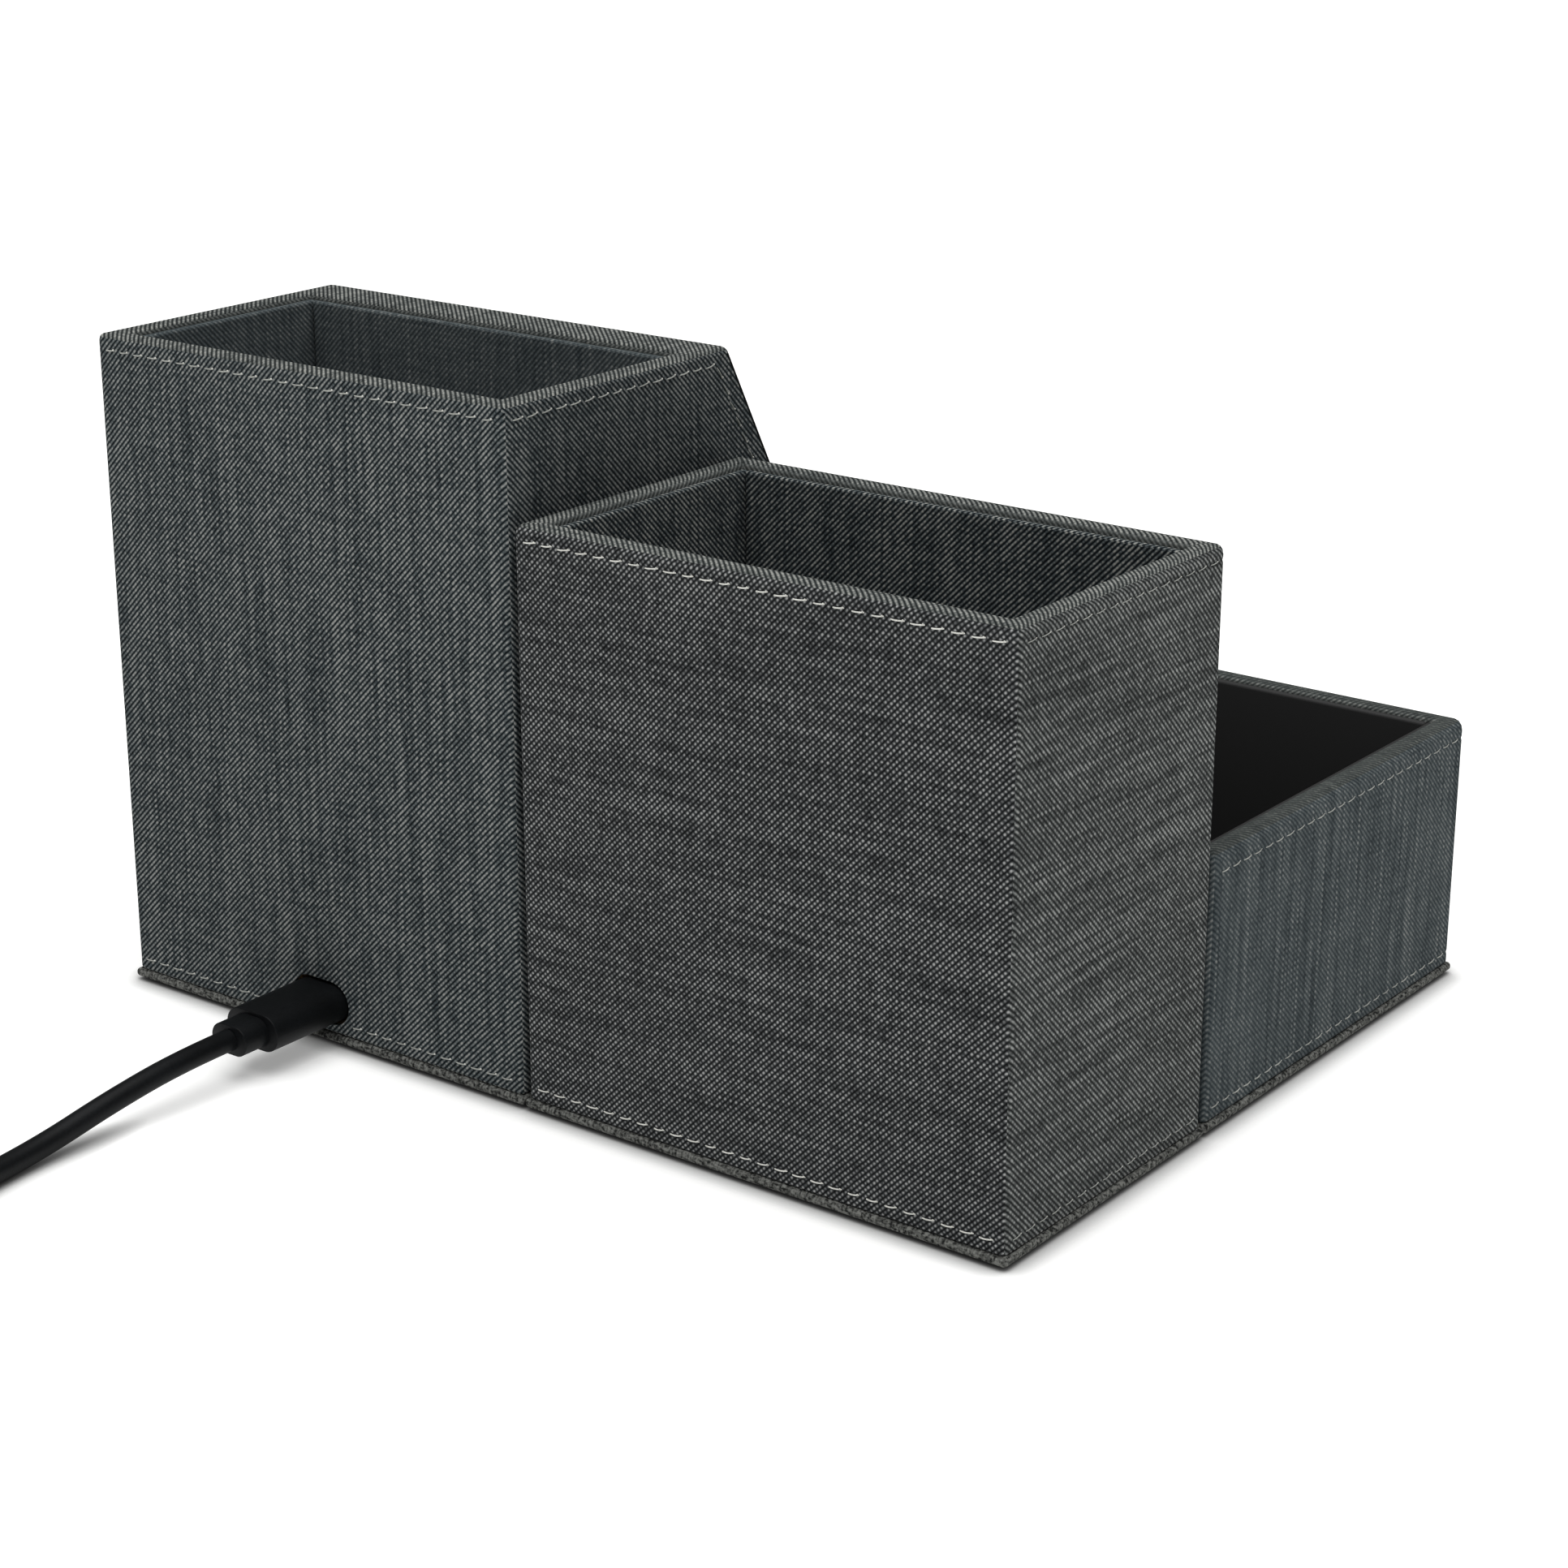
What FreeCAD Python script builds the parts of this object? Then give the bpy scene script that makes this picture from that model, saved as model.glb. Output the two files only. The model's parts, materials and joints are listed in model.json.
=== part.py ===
"""Desk charging station organizer, in millimetres.

Three fabric-wrapped board boxes stand side by side on one footprint: a tall tower with an open
compartment behind a slanted wireless charging face, a pen box, and a low tray in front of the pen
box. A cable plugs into the foot of the tower's back wall.

The origin is at the middle of the footprint on the desk. +Z is up, the front faces -Y, the tower
stands at +X. Inside the tower, depths are counted from its back wall towards the front.
"""
import FreeCAD
import Part
import math
import os

# Outside sizes of the three boxes
tower_width = 90.0
tower_height = 115.5
tower_top_depth = 55.0
pen_box_width = 91.8
pen_box_depth = 55.8
pen_box_height = 97.5
tray_depth = 85.0
tray_height = 47.8

# The phone slot at the foot of the charging face
phone_slot_depth = 23.0
lip_height = 20.0
top_rail_width = 1.8
top_rail_height = 9.0

# Wall build-up, from the outside in
cover_thickness = 0.8
board_thickness = 3.0
lining_thickness = 1.4
lining_drop = 1.6
fold_radius = 1.2

# Base boards and feet
base_thickness = 1.5
base_overhang = 0.5
base_gap = 0.2
base_edge_radius = 0.7
foot_thickness = 0.6
foot_radius = 5.0
foot_inset = 11.0

# Foam tape strips that join the boxes
tape_height = 10.0
tape_margin = 12.0
tape_low = 4.0
tape_high = 30.0

# Plug at the cable's near end
overmold_width = 11.8
overmold_height = 6.5
overmold_out = 16.0
overmold_end_radius = 0.6
plug_shell_width = 8.25
plug_shell_height = 2.4
plug_shell_length = 6.4
plug_bore_width = 7.0
plug_bore_height = 1.5
plug_bore_depth = 5.9
collar_width = 8.0
collar_height = 5.2
collar_length = 5.2
collar_end_radius = 0.7

# Port in the back wall and the socket behind it
port_clearance = 0.6
port_sill = 1.55
socket_setback = 0.3
socket_clearance = 0.15
socket_wall = 0.3
socket_end_wall = 0.9
socket_tip_clearance = 0.5
socket_tongue_width = 6.2
socket_tongue_height = 0.7
plug_face_gap = 0.6

# Charger board under the compartment's floor
bay_clearance = 1.75
circuit_width = 26.0
circuit_thickness = 1.2
circuit_front_clearance = 6.0
circuit_back_clearance = 0.5
carrier_thickness = 1.2
post_radius = 2.3
post_inset = 3.0
post_bore_radius = 1.0
screw_clearance = 0.1
screw_head_radius = 1.8
screw_head_height = 1.1
chip_size = 6.0
chip_height = 1.0
inductor_size = 8.0
inductor_height = 3.4
connector_width = 6.0
connector_length = 5.0
connector_height = 4.2
chip_place_share = 0.42
inductor_place_share = 0.62

# Charging coil behind the face
coil_place_share = 0.52
winding_outer_radius = 21.5
winding_inner_radius = 10.0
winding_thickness = 1.2
ferrite_size = 50.0
ferrite_thickness = 1.0
ferrite_clearance = 0.3
holder_wall = 2.7
holder_back = 1.6
coil_lead_diameter = 2.4
coil_lead_clearance = 0.6
coil_lead_rise = 15.0
coil_lead_run = 13.0

# Charging cable: it leaves the collar straight, passes the route's points, which are offsets from
# the collar in x and y and heights in z, and comes to the coil straight
cable_diameter = 3.8
cable_first_run = 11.0
cable_route = [
    (0.9, 25.3, 5.3),
    (1.9, 36.8, 2.6),
    (1.2, 48.8, 1.95),
]
cable_last_run = 12.0
cable_reach = 73.3
cable_side = -0.9
trim_share = 0.45

# Put-away coil of the cable and its tie
turn_gap = 0.6
turn_radius = 28.5
half_turns_in = 6
last_turn_growth = 4.6
points_per_half_turn = 40
apart_along_path = 12.0
tie_thickness = 0.8
tie_width = 8.0
tie_clearance = 0.15
tie_side_clearance = 1.6

# Plug at the cable's far end
far_overmold_width = 15.6
far_overmold_height = 8.6
far_overmold_length = 22.0
far_overmold_radius = 2.2
far_collar_length = 8.0
far_collar_radius = 2.9
far_shell_width = 12.0
far_shell_height = 4.5
far_shell_length = 18.6
far_shell_wall = 0.35
far_insert_height = 1.9

# One overrun serves all cuts, and points closer than the tolerance are the same place
overrun = 4.0
same_place = 0.0001

# Places that follow from the sizes
seam_gap = 2 * base_overhang + base_gap
total_width = tower_width + seam_gap + pen_box_width
total_depth = pen_box_depth + seam_gap + tray_depth
left_x = -total_width / 2
right_x = total_width / 2
back_y = total_depth / 2
front_y = -total_depth / 2
base_top = foot_thickness + base_thickness
board_inner = cover_thickness + board_thickness
rim_width = board_inner + cover_thickness
board_bottom = base_top + cover_thickness

ledge_top = base_top + board_thickness
pad_top = ledge_top + lining_thickness
face_foot_depth = total_depth - rim_width - phone_slot_depth
face_rise = tower_height - pad_top
face_run = face_foot_depth - tower_top_depth
face_angle = math.atan2(face_rise, face_run)
face_sine = math.sin(face_angle)
face_cosine = math.cos(face_angle)
face_cotangent = face_run / face_rise

plug_z = base_top + port_sill + port_clearance + overmold_height / 2
bay_floor_bottom = plug_z + overmold_height / 2 + bay_clearance
bay_floor_top = bay_floor_bottom + board_thickness


class Plan:
    """A rectangle seen from above."""

    def __init__(self, x0, x1, y0, y1):
        self.x0, self.x1, self.y0, self.y1 = x0, x1, y0, y1

    def inset(self, distance):
        """The rectangle drawn in on every side."""
        return Plan(self.x0 + distance, self.x1 - distance, self.y0 + distance, self.y1 - distance)

    def block(self, z0, z1):
        """The rectangle as a block between two heights."""
        size = (self.x1 - self.x0, self.y1 - self.y0, z1 - z0)
        return Part.makeBox(*size, FreeCAD.Vector(self.x0, self.y0, z0))

    def corners(self):
        """The four corners."""
        return [(x, y) for x in (self.x0, self.x1) for y in (self.y0, self.y1)]


tower_plan = Plan(right_x - tower_width, right_x, front_y, back_y)
pen_box_plan = Plan(left_x, left_x + pen_box_width, back_y - pen_box_depth, back_y)
tray_plan = Plan(left_x, left_x + pen_box_width, front_y, front_y + tray_depth)
tower_inside = tower_plan.inset(board_inner)
tower_rim = tower_plan.inset(rim_width)
tower_middle_x = (tower_plan.x0 + tower_plan.x1) / 2

nodes = {}


def depth_y(depth):
    """The Y of a depth counted from the tower's back wall."""
    return back_y - depth


def face_depth(z, inset):
    """Depth of a plane that lies an inset behind the slanted charging face, at a height."""
    return tower_top_depth + (tower_height - z) * face_cotangent - inset / face_sine


def prism(profile, x0, x1):
    """A profile of (depth, height) points across the tower."""
    points = [FreeCAD.Vector(x0, depth_y(depth), z) for depth, z in profile]
    outline = Part.makePolygon(points + points[:1])
    return Part.Face(outline).extrude(FreeCAD.Vector(x1 - x0, 0, 0))


def stadium(x, z, width, height, y0, y1):
    """A bar along Y whose section is flat above and below and round at both sides."""
    radius = height / 2
    flat = width / 2 - radius
    low_left = FreeCAD.Vector(x - flat, y0, z - radius)
    low_right = FreeCAD.Vector(x + flat, y0, z - radius)
    high_right = FreeCAD.Vector(x + flat, y0, z + radius)
    high_left = FreeCAD.Vector(x - flat, y0, z + radius)
    edges = [
        Part.makeLine(low_left, low_right),
        Part.Arc(low_right, FreeCAD.Vector(x + width / 2, y0, z), high_right).toShape(),
        Part.makeLine(high_right, high_left),
        Part.Arc(high_left, FreeCAD.Vector(x - width / 2, y0, z), low_left).toShape(),
    ]
    return Part.Face(Part.Wire(edges)).extrude(FreeCAD.Vector(0, y1 - y0, 0))


def edges_at(shape, test):
    """The edges of a shape whose two ends both pass a test."""
    return [e for e in shape.Edges if all(test(v.Point) for v in e.Vertexes)]


def near(a, b):
    """Whether two places are the same."""
    return abs(a - b) < same_place


def rounded_block(plan, z0, z1, radius):
    """A block with all its edges rounded."""
    block = plan.block(z0, z1)
    return block.makeFillet(radius, block.Edges)


def soften_mouth(cover, mouth, top):
    """Rounds the inner edges of an open top."""
    def on_mouth(p):
        on_x = near(p.x, mouth.x0) or near(p.x, mouth.x1)
        on_y = near(p.y, mouth.y0) or near(p.y, mouth.y1)
        return near(p.z, top) and on_x and on_y
    return cover.makeFillet(fold_radius, edges_at(cover, on_mouth))


def base_board(plan):
    """A wrapped base board that stands out a little under its box."""
    return rounded_block(plan.inset(-base_overhang), foot_thickness, base_top, base_edge_radius)


def four_linings(inside, bottom, top):
    """Lining cards on the four walls round a rectangle: left, right, back and front."""
    x0, x1, y0, y1 = inside.x0, inside.x1, inside.y0, inside.y1
    t = lining_thickness
    return {
        "left": Plan(x0, x0 + t, y0, y1).block(bottom, top),
        "right": Plan(x1 - t, x1, y0, y1).block(bottom, top),
        "back": Plan(x0 + t, x1 - t, y1 - t, y1).block(bottom, top),
        "front": Plan(x0 + t, x1 - t, y0, y0 + t).block(bottom, top),
    }


def wrapped_box(name, plan, height):
    """The pieces of a plain open box: base, four boards, outer cover and inner linings."""
    inside = plan.inset(board_inner)
    boards = plan.inset(cover_thickness)
    mouth = plan.inset(rim_width)
    top = height - cover_thickness
    nodes[name + "_base_board"] = base_board(plan)
    walls = {
        "left": Plan(boards.x0, inside.x0, boards.y0, boards.y1),
        "right": Plan(inside.x1, boards.x1, boards.y0, boards.y1),
        "back": Plan(inside.x0, inside.x1, inside.y1, boards.y1),
        "front": Plan(inside.x0, inside.x1, boards.y0, inside.y0),
    }
    for side, wall in walls.items():
        nodes[name + "_" + side + "_board"] = wall.block(board_bottom, top)

    cover = rounded_block(plan, base_top, height, fold_radius)
    cover = cover.cut(boards.block(board_bottom, top))
    cover = cover.cut(mouth.block(top - overrun, height + overrun))
    cover = cover.cut(inside.block(base_top - overrun, board_bottom + overrun))
    turned = inside.block(height - lining_drop, top).cut(mouth.block(height - lining_drop, top))
    cover = cover.fuse(turned).removeSplitter()
    nodes[name + "_cover"] = soften_mouth(cover, mouth, height)

    floor_top = base_top + lining_thickness
    nodes[name + "_floor_lining"] = inside.block(base_top, floor_top)
    for side, card in four_linings(inside, floor_top, height - lining_drop).items():
        nodes[name + "_" + side + "_lining"] = card


def tower_profile(inset):
    """Side outline of the tower, drawn in by an inset, as (depth, height) points."""
    top = tower_height - inset
    lip = lip_height - inset
    bottom = base_top + inset
    front = total_depth - inset
    return [
        (inset, bottom),
        (inset, top),
        (face_depth(top, inset), top),
        (face_depth(lip, inset), lip),
        (front, lip),
        (front, bottom),
    ]


partition_front = face_depth(tower_height - cover_thickness, board_inner) - top_rail_width
partition_back = partition_front - board_thickness
bay_front = partition_back - cover_thickness
bay_inside = Plan(tower_inside.x0, tower_inside.x1, depth_y(partition_back), tower_inside.y1)
bay_mouth = Plan(tower_rim.x0, tower_rim.x1, depth_y(bay_front), tower_rim.y1)
slot_inside = Plan(tower_inside.x0, tower_inside.x1, tower_inside.y0, depth_y(partition_front))
slot_rim = Plan(tower_rim.x0, tower_rim.x1, tower_rim.y0, depth_y(partition_front))


def port_hole():
    """The oblong hole for the plug, through the back wall."""
    width = overmold_width + 2 * port_clearance
    height = overmold_height + 2 * port_clearance
    y0 = depth_y(board_inner) - overrun
    return stadium(tower_middle_x, plug_z, width, height, y0, back_y + overrun)


def front_of_face(inset, bottom, top):
    """Everything in front of a plane behind the charging face, between two heights."""
    far = total_depth + overrun
    profile = [
        (face_depth(bottom, inset), bottom),
        (face_depth(top, inset), top),
        (far, top),
        (far, bottom),
    ]
    return prism(profile, tower_plan.x0 - overrun, tower_plan.x1 + overrun)


def tower_boards():
    """Core boards of the tower."""
    x0, x1 = tower_inside.x0, tower_inside.x1
    top = tower_height - cover_thickness
    sides = tower_profile(cover_thickness)
    nodes["tower_base_board"] = base_board(tower_plan)
    nodes["tower_left_board"] = prism(sides, tower_plan.x0 + cover_thickness, x0)
    nodes["tower_right_board"] = prism(sides, x1, tower_plan.x1 - cover_thickness)
    back = Plan(x0, x1, depth_y(board_inner), depth_y(cover_thickness)).block(board_bottom, top)
    nodes["tower_back_board"] = back.cut(port_hole())

    partition = Plan(x0, x1, depth_y(partition_front), depth_y(partition_back)).block(base_top, top)
    hole_radius = coil_lead_diameter / 2 + coil_lead_clearance
    start = FreeCAD.Vector(tower_middle_x, depth_y(partition_front) - overrun, lead_z)
    hole = Part.makeCylinder(hole_radius, board_thickness + 2 * overrun, start, FreeCAD.Vector(0, 1, 0))
    nodes["tower_partition_board"] = partition.cut(hole)
    nodes["tower_floor_board"] = bay_inside.block(bay_floor_bottom, bay_floor_top)

    rail_bottom = top - top_rail_height
    rail = [
        (partition_front, rail_bottom),
        (partition_front, top),
        (face_depth(top, board_inner), top),
        (face_depth(rail_bottom, board_inner), rail_bottom),
    ]
    nodes["tower_top_rail"] = prism(rail, x0, x1)
    face = [
        (face_depth(ledge_top, board_inner), ledge_top),
        (face_depth(top, board_inner), top),
        (face_depth(top, cover_thickness), top),
        (face_depth(ledge_top, cover_thickness), ledge_top),
    ]
    nodes["charge_face_board"] = prism(face, x0, x1)
    nodes["tower_ledge_board"] = slot_inside.block(base_top, ledge_top)
    lip = Plan(x0, x1, front_y + cover_thickness, tower_inside.y0)
    nodes["tower_lip_board"] = lip.block(board_bottom, lip_height - cover_thickness)


def tower_covers():
    """Outer fabric of the tower, the fabric of its charging face and the pad on its ledge."""
    top = tower_height - cover_thickness
    x0, x1 = tower_inside.x0, tower_inside.x1
    body = prism(tower_profile(0), tower_plan.x0, tower_plan.x1)
    inner_bend = (depth_y(face_depth(lip_height, 0)), lip_height)
    folds = [e for e in body.Edges
             if not all(near(v.Y, inner_bend[0]) and near(v.Z, inner_bend[1]) for v in e.Vertexes)]
    cover = body.makeFillet(fold_radius, folds)
    core = tower_profile(cover_thickness)
    cover = cover.cut(prism(core, tower_plan.x0 + cover_thickness, tower_plan.x1 - cover_thickness))
    cover = cover.cut(bay_mouth.block(top - overrun, tower_height + overrun))
    cover = cover.cut(tower_inside.block(base_top - overrun, board_bottom + overrun))
    panel = [
        (face_depth(ledge_top, cover_thickness), ledge_top),
        (face_depth(top, cover_thickness), top),
        (face_depth(top, 0), top),
        (face_depth(ledge_top, 0), ledge_top),
    ]
    panel = prism(panel, x0, x1)
    cover = cover.cut(panel)
    slot_top = slot_rim.block(ledge_top, lip_height + overrun)
    cover = cover.cut(slot_top.common(front_of_face(0, ledge_top, lip_height + overrun)))

    bottom = tower_height - lining_drop
    turned = bay_inside.block(bottom, top).cut(bay_mouth.block(bottom, top))
    cheeks = slot_inside.block(ledge_top, lip_height).cut(slot_rim.block(ledge_top, lip_height))
    cheeks = cheeks.common(front_of_face(cover_thickness, ledge_top, lip_height))
    cover = cover.fuse([turned, cheeks]).removeSplitter()
    cover = cover.cut(port_hole())
    nodes["tower_cover"] = soften_mouth(cover, bay_mouth, tower_height)
    pad = slot_rim.block(ledge_top, pad_top).common(front_of_face(cover_thickness, ledge_top, pad_top))
    nodes["ledge_pad"] = pad
    nodes["charge_face_cover"] = panel.cut(cheeks).cut(pad)


def tower_linings():
    """Lining cards of the tower's compartment."""
    floor_top = bay_floor_top + lining_thickness
    nodes["tower_floor_lining"] = bay_inside.block(bay_floor_top, floor_top)
    for side, card in four_linings(bay_inside, floor_top, tower_height - lining_drop).items():
        nodes["tower_" + side + "_lining"] = card


# Charger board: it lies level under the compartment's floor, with the socket at the port
socket_depth = board_inner + socket_setback
socket_width = plug_shell_width + 2 * (socket_clearance + socket_wall)
socket_height = plug_shell_height + 2 * (socket_clearance + socket_wall)
plug_face_depth = socket_depth - plug_face_gap
socket_bore = plug_shell_length - plug_face_gap + socket_tip_clearance
socket_length = socket_bore + socket_end_wall
circuit_top = plug_z - socket_height / 2
circuit_bottom = circuit_top - circuit_thickness
circuit_back = socket_depth + circuit_back_clearance
circuit_front = partition_back - circuit_front_clearance
circuit_length = circuit_front - circuit_back
lead_z = circuit_top + connector_height / 2
circuit_plan = Plan(tower_middle_x - circuit_width / 2, tower_middle_x + circuit_width / 2,
                    depth_y(circuit_front), depth_y(circuit_back))


def upright(radius, x, y, z0, z1):
    """A round bar standing between two heights."""
    return Part.makeCylinder(radius, z1 - z0, FreeCAD.Vector(x, y, z0))


def charger_board():
    """Circuit board, what sits on it, its carrier and its screws."""
    posts = circuit_plan.inset(post_inset).corners()
    carrier = circuit_plan.block(base_top, base_top + carrier_thickness)
    circuit = circuit_plan.block(circuit_bottom, circuit_top)
    shank_radius = post_bore_radius - screw_clearance
    shank_bottom = base_top + carrier_thickness
    screws = []
    for x, y in posts:
        carrier = carrier.fuse(upright(post_radius, x, y, base_top, circuit_bottom))
        circuit = circuit.cut(upright(post_bore_radius, x, y, circuit_bottom, circuit_top))
        shank = upright(shank_radius, x, y, shank_bottom, circuit_top)
        head = upright(screw_head_radius, x, y, circuit_top, circuit_top + screw_head_height)
        screws.append(shank.fuse(head).removeSplitter())
    for x, y in posts:
        carrier = carrier.cut(upright(post_bore_radius, x, y, shank_bottom, circuit_bottom))
    nodes["board_carrier"] = carrier.removeSplitter()
    nodes["charger_board"] = circuit
    nodes["board_screws"] = Part.makeCompound(screws)

    parts = []
    for size, height, share in ((chip_size, chip_height, chip_place_share),
                                (inductor_size, inductor_height, inductor_place_share)):
        y = depth_y(circuit_back + share * circuit_length)
        spot = Plan(tower_middle_x - size / 2, tower_middle_x + size / 2, y - size / 2, y + size / 2)
        parts.append(spot.block(circuit_top, circuit_top + height))
    half = connector_width / 2
    connector = Plan(tower_middle_x - half, tower_middle_x + half,
                     circuit_plan.y0, circuit_plan.y0 + connector_length)
    parts.append(connector.block(circuit_top, circuit_top + connector_height))
    nodes["board_components"] = Part.makeCompound(parts)


def usb_c_socket():
    """Socket shell with its centre tongue, open towards the port."""
    mouth_y = depth_y(socket_depth)
    end_y = mouth_y - socket_length
    bore_end_y = mouth_y - socket_bore
    shell = stadium(tower_middle_x, plug_z, socket_width, socket_height, end_y, mouth_y)
    bore_width = plug_shell_width + 2 * socket_clearance
    bore_height = plug_shell_height + 2 * socket_clearance
    bore = stadium(tower_middle_x, plug_z, bore_width, bore_height, bore_end_y, mouth_y + overrun)
    half = socket_tongue_width / 2
    tongue = Plan(tower_middle_x - half, tower_middle_x + half, bore_end_y, mouth_y - plug_face_gap)
    tongue = tongue.block(plug_z - socket_tongue_height / 2, plug_z + socket_tongue_height / 2)
    nodes["usb_c_socket"] = shell.cut(bore).fuse(tongue).removeSplitter()


def face_place(along, inward):
    """A point on the tower's middle line: along the face from the ledge, and behind its board."""
    depth = face_depth(ledge_top, board_inner) - along * face_cosine - inward * face_sine
    z = ledge_top + along * face_sine - inward * face_cosine
    return FreeCAD.Vector(tower_middle_x, depth_y(depth), z)


face_length = (tower_height - cover_thickness - ledge_top) / face_sine
coil_along = face_length * coil_place_share
holder_size = ferrite_size + 2 * (ferrite_clearance + holder_wall)
holder_pocket = winding_thickness + ferrite_thickness
holder_depth = holder_pocket + holder_back


def charging_coil():
    """Coil, ferrite sheet and holder, flat against the back of the face board."""
    def square(size, n0, n1):
        return Plan(-size / 2, size / 2, -size / 2, size / 2).block(n0, n1)

    pocket = square(ferrite_size + 2 * ferrite_clearance, -holder_pocket, overrun)
    outer = upright(winding_outer_radius, 0, 0, -winding_thickness, 0)
    inner = upright(winding_inner_radius, 0, 0, -winding_thickness, 0)
    pieces = {
        "coil_holder": square(holder_size, -holder_depth, 0).cut(pocket),
        "ferrite_sheet": square(ferrite_size, -holder_pocket, -winding_thickness),
        "charging_coil": outer.cut(inner),
    }
    turn = FreeCAD.Rotation(FreeCAD.Vector(1, 0, 0), math.degrees(face_angle))
    for name, piece in pieces.items():
        piece.Placement = FreeCAD.Placement(face_place(coil_along, 0), turn)
        nodes[name] = piece


def rounded_path(points, name):
    """Edges of straight runs joined by tangent arcs, each as large as its two runs allow."""
    edges = []
    start = points[0]
    radii = []
    for before, corner, after in zip(points, points[1:], points[2:]):
        way_in = (corner - before).normalize()
        way_out = (after - corner).normalize()
        half_turn = way_in.getAngle(way_out) / 2
        trim = trim_share * min((corner - before).Length, (after - corner).Length)
        radius = trim / math.tan(half_turn)
        radii.append(radius)
        bisector = (way_out - way_in).normalize()
        middle = corner + bisector * (radius / math.cos(half_turn) - radius)
        arc_start = corner - way_in * trim
        arc_end = corner + way_out * trim
        edges.append(Part.LineSegment(start, arc_start).toShape())
        edges.append(Part.Arc(arc_start, middle, arc_end).toShape())
        start = arc_end
    edges.append(Part.LineSegment(start, points[-1]).toShape())
    print(name, "bend radii", [round(r, 1) for r in radii])
    return edges


def tube(edges, diameter, name):
    """A round tube along a path, with its volume set against section times length."""
    path = Part.Wire(edges)
    first = edges[0]
    start = first.valueAt(first.FirstParameter)
    heading = first.tangentAt(first.FirstParameter)
    section = Part.Wire(Part.Circle(start, heading, diameter / 2).toShape())
    solid = path.makePipeShell([section], True, False)
    expected = math.pi * diameter ** 2 / 4 * path.Length
    print(name, "length", round(path.Length, 1), "volume share", round(solid.Volume / expected, 4))
    return solid


def coil_lead():
    """Lead from the board's connector through the partition and up to the coil holder."""
    start = FreeCAD.Vector(tower_middle_x, circuit_plan.y0, lead_z)
    end = face_place(coil_along - holder_size / 2, holder_depth / 2)
    below = face_place(coil_along - holder_size / 2 - coil_lead_rise, holder_depth / 2)
    turn = FreeCAD.Vector(tower_middle_x, below.y + coil_lead_run, lead_z)
    edges = rounded_path([start, turn, below, end], "coil_lead")
    nodes["coil_lead"] = tube(edges, coil_lead_diameter, "coil_lead")


def foot_pads():
    """Round non-slip pads under the three base boards."""
    pads = []
    for plan in (tower_plan, pen_box_plan, tray_plan):
        for x, y in plan.inset(foot_inset).corners():
            pads.append(upright(foot_radius, x, y, 0, foot_thickness))
    nodes["foot_pads"] = Part.makeCompound(pads)


def seam_tapes():
    """Foam tape strips in the seams between the boxes."""
    low = base_top + tape_low
    high = pen_box_height - tape_high
    x0, x1 = pen_box_plan.x1, tower_plan.x0
    strips = []
    for plan, bottom in ((pen_box_plan, low), (pen_box_plan, high), (tray_plan, low)):
        strip = Plan(x0, x1, plan.y0 + tape_margin, plan.y1 - tape_margin)
        strips.append(strip.block(bottom, bottom + tape_height))
    between = Plan(tray_plan.x0 + tape_margin, tray_plan.x1 - tape_margin, tray_plan.y1, pen_box_plan.y0)
    strips.append(between.block(low, low + tape_height))
    nodes["seam_tapes"] = Part.makeCompound(strips)


collar_y = back_y + overmold_out + collar_length


def near_plug():
    """Plug in the port: metal shell, moulded body and collar."""
    face_y = depth_y(plug_face_depth)
    tip_y = face_y - plug_shell_length
    shell = stadium(tower_middle_x, plug_z, plug_shell_width, plug_shell_height, tip_y, face_y)
    bore = stadium(tower_middle_x, plug_z, plug_bore_width, plug_bore_height,
                   tip_y - overrun, tip_y + plug_bore_depth)
    nodes["usb_c_plug_shell"] = shell.cut(bore)

    def ended_bar(width, height, y0, y1, radius):
        bar = stadium(tower_middle_x, plug_z, width, height, y0, y1)
        return bar.makeFillet(radius, edges_at(bar, lambda p: near(p.y, y1)))

    end_y = back_y + overmold_out
    nodes["usb_c_overmold"] = ended_bar(
        overmold_width, overmold_height, face_y, end_y, overmold_end_radius)
    nodes["usb_c_collar"] = ended_bar(
        collar_width, collar_height, end_y, collar_y, collar_end_radius)


cable_radius = cable_diameter / 2
turn_pitch = cable_diameter + turn_gap
first_layer_z = tie_thickness + tie_clearance + cable_radius
second_layer_z = first_layer_z + turn_pitch
coil_start = FreeCAD.Vector(tower_middle_x + cable_side, collar_y + cable_reach, first_layer_z)
half_turn_radii = [turn_radius - k * turn_pitch / 2 for k in range(half_turns_in)]
inner_turn_radius = turn_radius - half_turns_in * turn_pitch / 2
far_axis_z = far_overmold_height / 2


def cable_lead():
    """The cable's free stretch, from the collar down to the desk and along it to the coil."""
    start = FreeCAD.Vector(tower_middle_x, collar_y, plug_z)
    points = [start, start + FreeCAD.Vector(0, cable_first_run, 0)]
    for x, y, z in cable_route:
        points.append(FreeCAD.Vector(start.x + x, start.y + y, z))
    points.append(coil_start - FreeCAD.Vector(0, cable_last_run, 0))
    points.append(coil_start)
    nodes["cable_lead"] = tube(rounded_path(points, "cable_lead"), cable_diameter, "cable_lead")


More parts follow.
